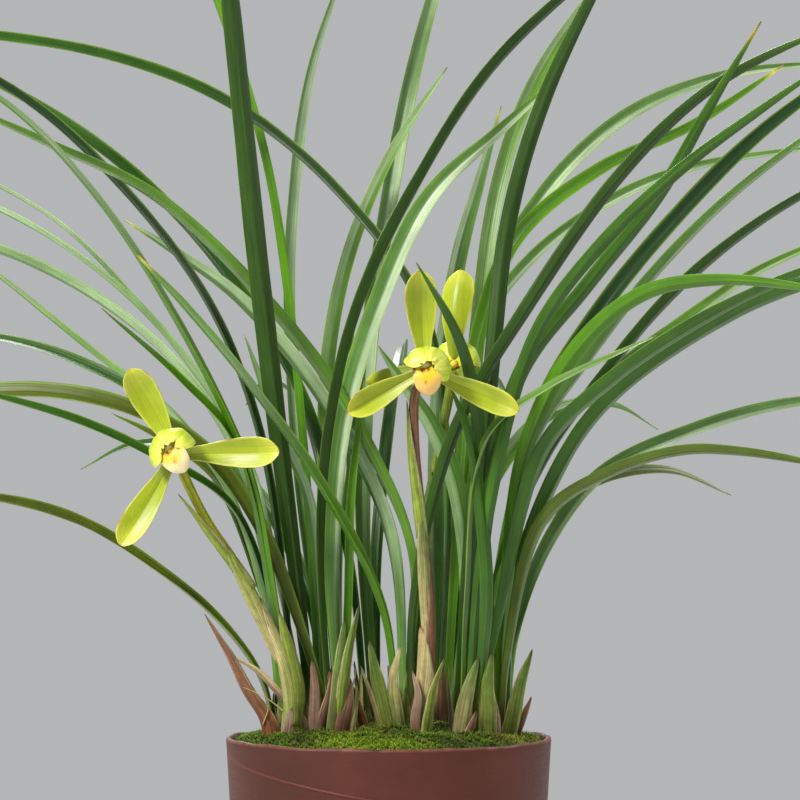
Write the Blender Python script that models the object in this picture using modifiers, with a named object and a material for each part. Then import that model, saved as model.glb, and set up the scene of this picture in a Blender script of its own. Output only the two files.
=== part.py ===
"""A spring orchid in its pot: brown pot, potting mix, moss, shoots, arching leaves and three flowers."""

import math

import bmesh
import bpy
import numpy as np
from mathutils import Vector

MM = 0.001

# Pot
RIM_RADIUS = 60 * MM
BASE_RADIUS = 52 * MM
POT_HEIGHT = 140 * MM
POT_WALL = 2.2 * MM
POT_FLOOR = 4 * MM
FOOT_WIDTH = 7 * MM
FOOT_RECESS = 2 * MM
CENTRE_PAD_RADIUS = 16 * MM
DRAIN_HOLES = 5
DRAIN_RADIUS = 4 * MM
RIB_WIDTH = 1.6 * MM
RIB_HEIGHT = 0.5 * MM
RIB_BELOW_RIM = 5.5 * MM
RIB_TURNS = 2.0
RIB_START = math.radians(188)

# Filling
FIT = 0.3 * MM
MIX_BELOW_RIM = 11 * MM
MOSS_EDGE_BELOW_RIM = 2.5 * MM
MOSS_DOME = 7 * MM
MOSS_LUMP = 0.9 * MM

# Plant
BULB_RADIUS = 5 * MM
BULB_HEIGHT = 11.5 * MM
RHIZOME_RADIUS = 1.6 * MM
POCKET = 2.2 * MM
LEAF_THICKNESS = 0.7 * MM
LEAF_LIFT = 0.8 * MM
LEAF_STATIONS = 14
SCAPE_RADIUS = 1.9 * MM
SEPAL_LENGTH = 37 * MM
SEPAL_WIDTH = 11.5 * MM
PETAL_LENGTH = 14 * MM
PETAL_WIDTH = 9.5 * MM
LIP_LENGTH = 13 * MM
LIP_WIDTH = 10 * MM
COLUMN_LENGTH = 9 * MM
COLUMN_RADIUS = 1.6 * MM
FLOWER_THICKNESS = 0.9 * MM

# Where each shoot stands on the moss, in millimetres right of and behind the pot's axis.
SHOOTS = {
    "a": (-38, -4),
    "b": (-27, 8),
    "c": (-18, -9),
    "d": (-6, 14),
    "e": (6, -4),
    "f": (18, 18),
    "g": (28, -10),
    "h": (40, 4),
    "i": (22, 36),
    "j": (-20, 30),
}
RHIZOME = ("ab", "bc", "bd", "jd", "de", "eg", "gh", "ef", "fi")

# Leaf rows: shoot, width, twist in degrees, foot on its shoot, then the points that it arches through.
# All in millimetres, the heights from the rim.
LEAVES = {
    "leaf_a_long": (
        "a", 7.5, -50, (1, -3),
        [
            (-43, -15, 55), (-52, -22, 99), (-72, -34, 143), (-103, -56, 194), (-136, -80, 229),
            (-168, -100, 244),
        ],
    ),
    "leaf_a_inner": (
        "a", 7.0, -45, (2, 3),
        [
            (-39, 2, 50), (-49, 1, 113), (-67, -4, 159), (-98, -12, 201), (-132, -20, 233),
            (-190, -42, 264),
        ],
    ),
    "leaf_a_middle": (
        "a", 7.0, 55, (-2, 1),
        [
            (-43, -6, 51), (-56, 0, 101), (-77, 6, 134), (-107, 14, 160), (-146, 24, 180),
            (-190, 36, 190),
        ],
    ),
    "leaf_a_low": (
        "a", 6.5, -50, (-4, -3),
        [
            (-48, -8, 23), (-64, -10, 44), (-87, -14, 63), (-112, -22, 79), (-140, -34, 88),
            (-172, -48, 91),
        ],
    ),
    "leaf_b_tall": (
        "b", 8.5, 80, (0, -4),
        [
            (-36, -10, 80), (-46, -16, 165), (-53, -22, 233), (-60, -38, 300), (-70, -56, 372),
        ],
    ),
    "leaf_b_bright": (
        "b", 7.0, 60, (1, 0),
        [
            (-32, 13, 98), (-39, 16, 165), (-47, 12, 214), (-65, 18, 274), (-94, 38, 340),
        ],
    ),
    "leaf_b_outer": (
        "b", 6.5, 50, (-3, 3),
        [
            (-40, 10, 50), (-52, 18, 98), (-69, 26, 128), (-94, 40, 158), (-130, 62, 186),
            (-180, 88, 212),
        ],
    ),
    "leaf_c_low": (
        "c", 8.5, -55, (-4, 1),
        [
            (-32, -10, 36), (-49, -8, 78), (-69, -6, 105), (-95, -4, 120), (-130, 0, 127),
            (-205, 8, 121),
        ],
    ),
    "leaf_c_arch": (
        "c", 8.0, -60, (-2, -3),
        [
            (-24, -11, 66), (-20, -10, 117), (-9, -8, 161), (12, 0, 205), (41, 12, 250),
            (100, 42, 306),
        ],
    ),
    "leaf_c_broad": (
        "c", 8.5, 60, (2, 1),
        [
            (-20, 0, 65), (-16, 5, 117), (-4, 10, 158), (15, 14, 199), (42, 20, 225),
            (63, 26, 244),
        ],
    ),
    "leaf_d_left": (
        "d", 7.0, -45, (-3, 0),
        [
            (-16, 18, 65), (-33, 23, 124), (-59, 23, 168), (-97, 18, 209), (-146, 30, 242),
            (-200, 46, 262),
        ],
    ),
    "leaf_d_right": (
        "d", 7.5, 60, (1, 3),
        [
            (-10, 20, 79), (-8, 32, 147), (0, 48, 204), (9, 64, 251), (32, 104, 335),
        ],
    ),
    "leaf_e_back": (
        "e", 7.5, 55, (-1, 4),
        [
            (-1, 8, 76), (-25, 10, 124), (-55, 4, 161), (-81, -2, 180), (-97, -8, 190),
        ],
    ),
    "leaf_e_front": (
        "e", 7.5, -50, (-3, -3),
        [
            (-3, -11, 47), (-24, -21, 90), (-50, -34, 128), (-73, -44, 157), (-90, -53, 176),
        ],
    ),
    "leaf_e_right": (
        "e", 6.0, -60, (3, -1),
        [
            (10, -8, 51), (24, -12, 110), (48, -18, 153), (84, -27, 205), (119, -40, 238),
            (165, -60, 260),
        ],
    ),
    "leaf_f_left": (
        "f", 7.5, -50, (0, 1),
        [
            (21, 19, 87), (13, 22, 154), (-18, 14, 199), (-58, -4, 232), (-105, -16, 250),
            (-200, -38, 262),
        ],
    ),
    "leaf_f_back": (
        "f", 6.5, 60, (3, 5),
        [
            (28, 31, 72), (34, 42, 154), (42, 54, 208), (58, 70, 250), (104, 106, 314),
        ],
    ),
    "leaf_f_right": (
        "f", 7.0, 55, (4, -2),
        [
            (27, 16, 79), (35, 30, 151), (49, 32, 185), (80, 40, 211), (115, 48, 228),
            (151, 58, 252),
        ],
    ),
    "leaf_g_upright": (
        "g", 6.5, -60, (1, 3),
        [
            (33, -10, 66), (38, -11, 135), (44, -8, 188), (57, -18, 234), (92, -46, 306),
        ],
    ),
    "leaf_g_steep": (
        "g", 6.5, -55, (4, -1),
        [
            (35, -16, 66), (48, -20, 132), (73, -28, 166), (98, -37, 198), (116, -46, 230),
            (133, -54, 259),
        ],
    ),
    "leaf_g_front": (
        "g", 6.5, -60, (1, -4),
        [
            (35, -26, 74), (53, -34, 146), (76, -46, 179), (103, -64, 205), (134, -84, 228),
            (156, -99, 243),
        ],
    ),
    "leaf_g_short": (
        "g", 6.0, 60, (-3, 0),
        [
            (31, -16, 80), (33, -25, 116), (31, -32, 129), (26.5, -43, 144), (20, -51, 157), (10, -56, 173),
        ],
    ),
    "leaf_h_long": (
        "h", 7.5, 55, (0, 4),
        [
            (44, 14, 65), (58, 18, 122), (81, 25, 159), (110, 36, 194), (141, 51, 225),
            (190, 76, 262),
        ],
    ),
    "leaf_h_arch": (
        "h", 8.0, -60, (0, -5),
        [
            (43, -6, 50), (51, -20, 108), (68, -34, 142), (90, -51, 161), (116, -70, 166),
            (165, -100, 160),
        ],
    ),
    "leaf_h_thin": (
        "h", 6.0, -50, (-2, 1),
        [
            (41, 6, 58), (58, 4, 101), (78, 0, 130), (105, -6, 163), (136, -13, 189),
            (186, -26, 218),
        ],
    ),
    "leaf_h_broad": (
        "h", 8.0, -50, (4, -2),
        [
            (47, -2, 51), (60, -8, 91), (78, -13, 120), (114, -21, 148), (149, -30, 165),
            (215, -54, 176),
        ],
    ),
    "leaf_h_low": (
        "h", 6.5, 50, (4, 2),
        [
            (47, 14, 35), (60, 24, 70), (80, 36, 95), (119, 58, 113), (159, 80, 123),
            (205, 104, 125),
        ],
    ),
    "leaf_i_left": (
        "i", 8.0, 60, (-2, 2),
        [
            (17, 46, 71), (19, 60, 132), (26, 76, 178), (35, 92, 210), (44, 110, 240),
        ],
    ),
    "leaf_i_right": (
        "i", 6.5, 60, (2, 1),
        [
            (25, 46, 63), (37, 64, 159), (59, 84, 202), (91, 106, 234), (132, 132, 253),
            (190, 160, 262),
        ],
    ),
    "leaf_j_left": (
        "j", 6.5, -40, (-4, 1),
        [
            (-42, 34, 35), (-62, 42, 87), (-87, 56, 120), (-119, 74, 138), (-152, 90, 148),
            (-188, 106, 150),
        ],
    ),
    "leaf_j_upright": (
        "j", 6.0, 60, (-1, 4),
        [
            (-33, 38, 79), (-39, 52, 162), (-37, 68, 209), (-31, 92, 253), (-16, 122, 302),
        ],
    ),
    "leaf_j_right": (
        "j", 6.5, 60, (2, -1),
        [
            (-23, 34, 79), (-22, 38, 143), (-14, 40, 181), (1, 40, 217), (22, 40, 250),
        ],
    ),
}

# Scape rows: foot, then the points up to its flower, in the same terms.
SCAPES = {
    "scape_left": (
        (-35, -17),
        [
            (-36, -17, 21), (-42, -18, 36), (-55, -21, 63), (-66, -24, 80), (-74, -26, 96), (-76.5, -29, 103),
        ],
    ),
    "scape_centre": (
        (12, -21),
        [
            (14, -22, 21), (14, -24, 50), (12, -29, 80), (9.5, -34, 109), (9.5, -37, 125),
            (11.8, -38.8, 132.5),
        ],
    ),
    "scape_back": (
        (8, 10),
        [
            (9, 10, 30), (13, 9, 70), (19, 7, 108), (22.4, 5, 126), (23.4, 4.4, 134.5),
        ],
    ),
}

# Flower rows: centre, the way it faces, the way its dorsal sepal points, the length of the dorsal,
# right and left sepals as shares, then the right and left sepals' and petals' angles from the dorsal.
FLOWERS = {
    "flower_left": (
        (-77, -31, 104.5), (-0.12, -1.0, 0.06), (-0.47, 0.0, 0.88), (0.93, 1.04, 1.04), (117, -122),
        (46, -50),
    ),
    "flower_centre": (
        (13, -41, 135), (0.05, -1.0, -0.05), (-0.05, -0.12, 1.0), (0.97, 1.0, 0.86), (117, -116), (60, -20),
    ),
    "flower_back": (
        (24, 6, 137), (0.3, 0.95, 0.05), (0.0, -0.15, 1.0), (0.95, 0.97, 0.85), (99, -146), (45, -45),
    ),
}

# How wide a blade is along its length, as shares of its length and of its width.
LEAF_SHAPE = (
    (0.0, 0.5), (0.12, 0.6), (0.3, 0.9), (0.5, 1.0),
    (0.72, 0.92), (0.88, 0.6), (0.97, 0.25), (1.0, 0.1),
)
SEPAL_SHAPE = ((0.0, 0.4), (0.2, 0.52), (0.45, 0.82), (0.68, 1.0), (0.84, 0.92), (0.94, 0.65), (1.0, 0.2))
PETAL_SHAPE = ((0.0, 0.4), (0.3, 0.85), (0.55, 1.0), (0.8, 0.86), (0.94, 0.5), (1.0, 0.2))
LIP_SHAPE = ((0.0, 0.45), (0.25, 0.8), (0.45, 0.78), (0.7, 1.0), (0.9, 0.8), (1.0, 0.3))

COLOURS = {
    "pot": ((0.14, 0.05, 0.032), 0.45),
    "potting_mix": ((0.05, 0.03, 0.02), 0.95),
    "moss": ((0.10, 0.20, 0.02), 0.9),
    "bulb": ((0.22, 0.20, 0.07), 0.6),
    "leaf": ((0.05, 0.16, 0.02), 0.4),
    "scape": ((0.30, 0.30, 0.10), 0.5),
    "sepal": ((0.45, 0.55, 0.03), 0.45),
    "petal": ((0.55, 0.72, 0.10), 0.45),
    "lip": ((0.85, 0.75, 0.40), 0.5),
    "column": ((0.65, 0.62, 0.18), 0.5),
}


def new_collection(name):
    made = bpy.data.collections.new(name)
    bpy.context.scene.collection.children.link(made)
    return made


def material(slot):
    found = bpy.data.materials.get(slot)
    if found:
        return found
    colour, roughness = COLOURS[slot]
    made = bpy.data.materials.new(slot)
    made.use_nodes = True
    shader = made.node_tree.nodes["Principled BSDF"]
    shader.inputs["Base Color"].default_value = (*colour, 1.0)
    shader.inputs["Roughness"].default_value = roughness
    return made


def add_object(name, data, slot, collection):
    obj = bpy.data.objects.new(name, data)
    collection.objects.link(obj)
    if slot:
        data.materials.append(material(slot))
    else:
        obj.hide_render = True
        obj.display_type = "WIRE"
    return obj


def add_mesh(name, form, slot, collection, smooth=True):
    bmesh.ops.recalc_face_normals(form, faces=form.faces)
    data = bpy.data.meshes.new(name)
    form.to_mesh(data)
    form.free()
    if smooth:
        data.shade_smooth()
        data.set_sharp_from_angle(angle=math.radians(40))
    return add_object(name, data, slot, collection)


def turned(name, profile, slot, collection, steps=64):
    """A profile of (radius, height) points, outer side first and downwards, turned about the pot's axis."""
    data = bpy.data.meshes.new(name)
    edges = [(i, i + 1) for i in range(len(profile) - 1)]
    data.from_pydata([(r, 0.0, z) for r, z in profile], edges, [])
    obj = add_object(name, data, slot, collection)
    screw = obj.modifiers.new("turn", "SCREW")
    screw.steps = steps
    screw.render_steps = steps
    screw.use_merge_vertices = True
    screw.merge_threshold = 0.00001
    screw.use_smooth_shade = False
    return obj


def boolean(obj, other, operation):
    made = obj.modifiers.new(other.name, "BOOLEAN")
    made.operation = operation
    made.object = other
    made.solver = "EXACT"


def cylinder(name, x, y, low, high, radius, sides, collection):
    form = bmesh.new()
    size = {"radius1": radius, "radius2": radius, "depth": high - low}
    bmesh.ops.create_cone(form, cap_ends=True, segments=sides, **size)
    obj = add_mesh(name, form, None, collection, smooth=False)
    obj.location = (x, y, (low + high) / 2)
    return obj


def rod(name, start, end, radius, sides, slot, collection):
    start = Vector(start)
    along = Vector(end) - start
    form = bmesh.new()
    size = {"radius1": radius, "radius2": radius, "depth": along.length}
    bmesh.ops.create_cone(form, cap_ends=True, segments=sides, **size)
    obj = add_mesh(name, form, slot, collection)
    obj.location = start + along / 2
    obj.rotation_euler = along.to_track_quat("Z", "Y").to_euler()
    return obj


def smooth_path(points, stations):
    """Evenly spaced places on one smooth curve through the points."""
    through = [np.array(p, float) for p in points]
    through = [2 * through[0] - through[1], *through, 2 * through[-1] - through[-2]]
    fine = []
    for p0, p1, p2, p3 in zip(through, through[1:], through[2:], through[3:]):
        t0 = 0.0
        t1 = t0 + np.linalg.norm(p1 - p0) ** 0.5
        t2 = t1 + np.linalg.norm(p2 - p1) ** 0.5
        t3 = t2 + np.linalg.norm(p3 - p2) ** 0.5
        for t in np.linspace(t1, t2, 24, endpoint=False):
            a1 = (t1 - t) / (t1 - t0) * p0 + (t - t0) / (t1 - t0) * p1
            a2 = (t2 - t) / (t2 - t1) * p1 + (t - t1) / (t2 - t1) * p2
            a3 = (t3 - t) / (t3 - t2) * p2 + (t - t2) / (t3 - t2) * p3
            b1 = (t2 - t) / (t2 - t0) * a1 + (t - t0) / (t2 - t0) * a2
            b2 = (t3 - t) / (t3 - t1) * a2 + (t - t1) / (t3 - t1) * a3
            fine.append((t2 - t) / (t2 - t1) * b1 + (t - t1) / (t2 - t1) * b2)
    fine = np.array([*fine, through[-2]])
    run = np.concatenate([[0], np.cumsum(np.linalg.norm(np.diff(fine, axis=0), axis=1))])
    wanted = np.linspace(0, run[-1], stations)
    return np.stack([np.interp(wanted, run, fine[:, i]) for i in range(3)], axis=1)


def unit(v):
    return v / np.linalg.norm(v)


def blade(name, path, shape, width, thickness, fold, side, twist, columns, slot, collection):
    """A leaf or sepal: thin sections with sharp edges, folded along the midline, along a path."""
    count = len(path)
    tangents = np.gradient(path, axis=0)
    across = np.linspace(-1, 1, columns)
    shares = np.linspace(0, 1, count)
    widths = np.interp(shares, *zip(*shape)) * width / 2
    form = bmesh.new()
    rings = []
    for i in range(count):
        along = unit(tangents[i])
        flat = unit(side - np.dot(side, along) * along)
        up = np.cross(along, flat)
        angle = twist(shares[i])
        right = math.cos(angle) * flat + math.sin(angle) * up
        face = np.cross(along, right)
        lift = fold(shares[i]) * widths[i]
        middle = path[i]
        surface = [middle + u * widths[i] * right + abs(u) ** 1.4 * lift * face for u in across]
        thick = [thickness / 2 * (1 - u * u) for u in across]
        top = [form.verts.new(p + t * face) for p, t in zip(surface, thick)]
        low = [form.verts.new(p - t * face) for p, t in zip(surface[1:-1], thick[1:-1])]
        rings.append((top, [top[0], *low, top[-1]]))
    for (top_a, low_a), (top_b, low_b) in zip(rings, rings[1:]):
        for k in range(columns - 1):
            form.faces.new((top_a[k], top_a[k + 1], top_b[k + 1], top_b[k]))
            form.faces.new((low_a[k + 1], low_a[k], low_b[k], low_b[k + 1]))
    for top, low in (rings[0], rings[-1]):
        form.faces.new((top[0], top[1], low[1]))
        for k in range(1, columns - 2):
            form.faces.new((top[k], top[k + 1], low[k + 1], low[k]))
        form.faces.new((top[-2], top[-1], low[-2]))
    bmesh.ops.triangulate(form, faces=form.faces)
    return add_mesh(name, form, slot, collection)


def tube(name, path, radii, sides, slot, collection):
    """A stem: a bevelled curve that tapers, with filled caps, made a mesh."""
    curve = bpy.data.curves.new(name + "_line", "CURVE")
    curve.dimensions = "3D"
    curve.bevel_depth = 1.0
    curve.bevel_resolution = sides // 4 - 1
    curve.use_fill_caps = True
    line = curve.splines.new("POLY")
    line.points.add(len(path) - 1)
    for point, place, radius in zip(line.points, path, radii):
        point.co = (*place, 1.0)
        point.radius = radius
    guide = bpy.data.objects.new(name + "_line", curve)
    collection.objects.link(guide)
    graph = bpy.context.evaluated_depsgraph_get()
    data = bpy.data.meshes.new_from_object(guide.evaluated_get(graph))
    bpy.data.objects.remove(guide)
    form = bmesh.new()
    form.from_mesh(data)
    bmesh.ops.remove_doubles(form, verts=form.verts, dist=0.00001)
    return add_mesh(name, form, slot, collection)


def wall_inside(z):
    """The pot's inner radius at a height."""
    taper = (RIM_RADIUS - BASE_RADIUS) / POT_HEIGHT
    return BASE_RADIUS + taper * z - POT_WALL


def make_pot(collection, cutters):
    foot_out = BASE_RADIUS - 1.5 * MM
    foot_in = foot_out - FOOT_WIDTH
    lip = POT_WALL / 2
    profile = [
        (RIM_RADIUS - lip, POT_HEIGHT),
        (RIM_RADIUS - lip * 0.3, POT_HEIGHT - lip * 0.3),
        (RIM_RADIUS, POT_HEIGHT - lip),
        (BASE_RADIUS, 1.5 * MM),
        (foot_out, 0.0),
        (foot_in, 0.0),
        (foot_in - FOOT_RECESS / 2, FOOT_RECESS),
        (CENTRE_PAD_RADIUS + FOOT_RECESS / 2, FOOT_RECESS),
        (CENTRE_PAD_RADIUS, 0.0),
        (0.0, 0.0),
    ]
    inner = [
        (0.0, POT_FLOOR),
        (wall_inside(POT_FLOOR) - 2 * MM, POT_FLOOR),
        (wall_inside(POT_FLOOR + 2 * MM), POT_FLOOR + 2 * MM),
        (wall_inside(POT_HEIGHT - lip), POT_HEIGHT - lip),
        (RIM_RADIUS - POT_WALL + lip * 0.3, POT_HEIGHT - lip * 0.3),
        (RIM_RADIUS - lip, POT_HEIGHT),
    ]
    pot = turned("pot", profile + inner, "pot", collection)
    form = bmesh.new()
    stations = int(48 * RIB_TURNS) + 1
    pitch = (POT_HEIGHT - RIB_BELOW_RIM - 10 * MM) / RIB_TURNS
    rings = []
    for share in np.linspace(0, 1, stations):
        turn = share * RIB_TURNS
        angle = RIB_START + turn * 2 * math.pi
        z = POT_HEIGHT - RIB_BELOW_RIM - turn * pitch
        wall = wall_inside(z) + POT_WALL
        swell = RIB_HEIGHT * min(1.0, 12 * share + 0.3, 12 * (1 - share) + 0.3)
        section = (
            (wall - POT_WALL / 3, -RIB_WIDTH / 2),
            (wall - POT_WALL / 3, RIB_WIDTH / 2),
            (wall + swell, RIB_WIDTH / 5),
            (wall + swell, -RIB_WIDTH / 5),
        )
        ring = [form.verts.new((r * math.cos(angle), r * math.sin(angle), z + dz)) for r, dz in section]
        rings.append(ring)
    for a, b in zip(rings, rings[1:]):
        for k in range(4):
            n = (k + 1) % 4
            form.faces.new((a[k], a[n], b[n], b[k]))
    form.faces.new(rings[0])
    form.faces.new(rings[-1])
    rib = add_mesh("pot_rib", form, None, cutters, smooth=False)
    boolean(pot, rib, "UNION")
    ring_radius = (foot_in + CENTRE_PAD_RADIUS) / 2
    for k in range(DRAIN_HOLES):
        angle = 2 * math.pi * (k + 0.5) / DRAIN_HOLES
        x = ring_radius * math.cos(angle)
        y = ring_radius * math.sin(angle)
        hole = cylinder(f"drain_{k}", x, y, -5 * MM, POT_FLOOR + 5 * MM, DRAIN_RADIUS, 20, cutters)
        boolean(pot, hole, "DIFFERENCE")
    return pot


def make_mix(collection):
    low = POT_FLOOR + FIT
    top = POT_HEIGHT - MIX_BELOW_RIM
    return turned(
        "potting_mix",
        [
            (0.0, top),
            (wall_inside(top) - FIT, top),
            (wall_inside(low + 3 * MM) - FIT, low + 3 * MM),
            (wall_inside(low) - FIT - 3 * MM, low),
            (0.0, low),
        ],
        "potting_mix",
        collection,
        steps=40,
    )


def moss_height(x, y):
    """The moss's upper surface: a low dome with soft lumps, pressed down at the wall."""
    out = min(1.0, math.hypot(x, y) / (RIM_RADIUS - POT_WALL))
    dome = MOSS_DOME * (1 - out**2) ** 0.8
    lump = math.sin(x / (6.1 * MM) + 1.3) * math.sin(y / (5.3 * MM) - 0.4)
    lump += 0.5 * math.sin((x + y) / (3.7 * MM)) * math.cos((x - y) / (4.3 * MM))
    return POT_HEIGHT - MOSS_EDGE_BELOW_RIM + dome + MOSS_LUMP * lump * (1 - out**4)


def make_moss(collection, cutters):
    low = POT_HEIGHT - MIX_BELOW_RIM + FIT
    edge = POT_HEIGHT - MOSS_EDGE_BELOW_RIM
    rings = 11
    sides = 44
    form = bmesh.new()
    centre = form.verts.new((0, 0, moss_height(0, 0)))
    top = []
    for k in range(1, rings + 1):
        radius = (wall_inside(edge) - FIT) * k / rings
        ring = []
        for s in range(sides):
            angle = 2 * math.pi * (s + 0.5 * (k % 2)) / sides
            x = radius * math.cos(angle)
            y = radius * math.sin(angle)
            ring.append(form.verts.new((x, y, moss_height(x, y))))
        top.append(ring)
    below = []
    for s in range(sides):
        angle = 2 * math.pi * (s + 0.5 * (rings % 2)) / sides
        radius = wall_inside(low) - FIT
        below.append(form.verts.new((radius * math.cos(angle), radius * math.sin(angle), low)))
    for s in range(sides):
        n = (s + 1) % sides
        form.faces.new((centre, top[0][s], top[0][n]))
        form.faces.new((top[-1][s], below[s], below[n], top[-1][n]))
    for a, b in zip(top, top[1:]):
        for s in range(sides):
            n = (s + 1) % sides
            form.faces.new((a[s], b[s], b[n], a[n]))
    form.faces.new(below)
    bmesh.ops.triangulate(form, faces=form.faces)
    moss = add_mesh("moss", form, "moss", collection)
    high = POT_HEIGHT + MOSS_DOME + 20 * MM
    pockets = [(key, place, BULB_RADIUS + POCKET, 20) for key, place in SHOOTS.items()]
    pockets += [(key, foot, SCAPE_RADIUS + POCKET / 2, 12) for key, (foot, _) in SCAPES.items()]
    for key, (x, y), radius, sides in pockets:
        pocket = cylinder(f"pocket_{key}", x * MM, y * MM, low - MM, high, radius, sides, cutters)
        boolean(moss, pocket, "DIFFERENCE")
    for pair in RHIZOME:
        start, end = rhizome_ends(pair)
        tunnel = rod(f"tunnel_{pair}", start, end, RHIZOME_RADIUS + FIT * 1.5, 12, None, cutters)
        boolean(moss, tunnel, "DIFFERENCE")
    return moss


def bulb_low():
    return POT_HEIGHT - MIX_BELOW_RIM + 2 * FIT


def rhizome_ends(pair):
    z = bulb_low() + RHIZOME_RADIUS + FIT * 2 + 0.6 * MM
    return [(SHOOTS[key][0] * MM, SHOOTS[key][1] * MM, z) for key in pair]


def make_rhizome(collection, cutters):
    """Swollen bulbs, one under each shoot, grown together along one creeping stem."""
    bulbs = []
    for key, (x, y) in SHOOTS.items():
        form = bmesh.new()
        bmesh.ops.create_uvsphere(form, u_segments=14, v_segments=9, radius=1.0)
        for v in form.verts:
            across = BULB_RADIUS * (1 - 0.25 * max(0.0, v.co.z))
            v.co = Vector((v.co.x * across, v.co.y * across, v.co.z * BULB_HEIGHT / 2))
        if bulbs:
            bulb = add_mesh(f"bulb_{key}", form, None, cutters)
        else:
            bulb = add_mesh("rhizome", form, "bulb", collection)
        bulb.location = (x * MM, y * MM, bulb_low() + BULB_HEIGHT / 2)
        bulbs.append(bulb)
    # The first bulb carries the unions, in an order in which each piece touches what is already joined.
    joined = {"a"}
    order = dict(zip(SHOOTS, bulbs))
    left = list(RHIZOME)
    while left:
        pair = next(p for p in left if p[0] in joined or p[1] in joined)
        left.remove(pair)
        start, end = rhizome_ends(pair)
        boolean(bulbs[0], rod(f"stem_{pair}", start, end, RHIZOME_RADIUS, 8, None, cutters), "UNION")
        new = pair[1] if pair[0] in joined else pair[0]
        boolean(bulbs[0], order[new], "UNION")
        joined.add(new)
    return bulbs[0]


def make_leaf(name, row, collection):
    shoot, width, twist, foot, points = row
    x, y = SHOOTS[shoot]
    start = (x + foot[0], y + foot[1], 0)
    top = (bulb_low() + BULB_HEIGHT + LEAF_LIFT - POT_HEIGHT) / MM
    through = [(start[0], start[1], top), *points]
    path = smooth_path(through, LEAF_STATIONS) * MM + np.array([0, 0, POT_HEIGHT])
    heading = path[-1] - path[0]
    side = unit(np.array([-heading[1], heading[0], 0.0]))
    turn = math.radians(twist)
    return blade(
        name,
        path,
        LEAF_SHAPE,
        width * MM,
        LEAF_THICKNESS,
        lambda share: 0.75 - 0.5 * share,
        side,
        lambda share: turn * (0.55 + 0.45 * share),
        3,
        "leaf",
        collection,
    )


def make_scape(name, row, collection):
    foot, points = row
    low = (bulb_low() - POT_HEIGHT) / MM + 4
    path = smooth_path([(foot[0], foot[1], low), *points], 12) * MM + np.array([0, 0, POT_HEIGHT])
    radii = np.interp(np.linspace(0, 1, 12), (0, 0.3, 0.85, 1), (1.0, 1.05, 0.85, 0.6)) * SCAPE_RADIUS
    return tube(name, path, radii, 8, "scape", collection)


def make_flower(name, row, collection):
    """Three long sepals, two small petals that hood the column, and a lip that curls down."""
    centre, facing, dorsal, lengths, sepal_turns, petal_turns = row
    middle = np.array(centre) * MM + np.array([0, 0, POT_HEIGHT])
    face = unit(np.array(facing, float))
    up = np.array(dorsal, float)
    up = unit(up - np.dot(up, face) * face)
    right = np.cross(up, face)

    def place(out, turn, forward):
        """A point at a distance from the centre, at an angle from the dorsal sepal, and forward."""
        return middle + out * (math.cos(turn) * up + math.sin(turn) * right) + forward * face

    def outer(label, sizes, turn, steps, shape, fold, slot, stations):
        """One floral leaf: its length and width, its angle, and its run outwards and forwards."""
        length, width = sizes
        angle = math.radians(turn)
        path = [place(length * out, angle, length * forward) for out, forward in steps]
        side = math.cos(angle) * right - math.sin(angle) * up
        blade(
            f"{name}_{label}",
            smooth_path(path, stations),
            shape,
            width,
            FLOWER_THICKNESS,
            lambda share: fold,
            side,
            lambda share: 0.0,
            5,
            slot,
            collection,
        )

    hooded = ((0.1, 0.0), (0.4, -0.04), (0.75, 0.04), (1.0, 0.18))
    spread = ((0.1, 0.0), (0.4, -0.03), (0.75, 0.01), (1.0, 0.1))
    cupped = ((0.3, 0.16), (0.5, 0.26), (0.66, 0.5), (0.6, 0.76), (0.44, 0.9))
    curled = ((0.24, 0.18), (0.18, 0.42), (0.08, 0.64), (0.12, 0.84), (0.34, 0.93), (0.6, 0.78))
    sepal = (SEPAL_LENGTH * lengths[0], SEPAL_WIDTH)
    outer("dorsal_sepal", sepal, 0, hooded, SEPAL_SHAPE, -0.35, "sepal", 9)
    petal = (PETAL_LENGTH, PETAL_WIDTH)
    for k, label in enumerate(("right", "left")):
        sepal = (SEPAL_LENGTH * lengths[k + 1], SEPAL_WIDTH)
        outer(f"lateral_sepal_{label}", sepal, sepal_turns[k], spread, SEPAL_SHAPE, -0.35, "sepal", 9)
        outer(f"petal_{label}", petal, petal_turns[k], cupped, PETAL_SHAPE, -0.4, "petal", 9)
    outer("lip", (LIP_LENGTH, LIP_WIDTH), 180, curled, LIP_SHAPE, 0.2, "lip", 10)
    column = [place(0, 0, 0), place(1.2 * MM, 0, COLUMN_LENGTH / 2), place(2.2 * MM, 0, COLUMN_LENGTH)]
    radii = np.array([0.9, 0.85, 0.95, 1.1, 0.8]) * COLUMN_RADIUS
    tube(f"{name}_column", smooth_path(column, 5), radii, 8, "column", collection)


def main():
    for obj in list(bpy.data.objects):
        bpy.data.objects.remove(obj, do_unlink=True)
    plant = new_collection("potted_orchid")
    cutters = new_collection("cutters")
    make_pot(plant, cutters)
    make_mix(plant)
    make_moss(plant, cutters)
    make_rhizome(plant, cutters)
    for name, row in LEAVES.items():
        make_leaf(name, row, plant)
    for name, row in SCAPES.items():
        make_scape(name, row, plant)
    for name, row in FLOWERS.items():
        make_flower(name, row, plant)


main()
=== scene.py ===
# A spring orchid in its pot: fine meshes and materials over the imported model.
import math
import random
from math import cos, pi, radians, sin

import bpy
import numpy as np
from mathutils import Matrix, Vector, noise


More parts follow.
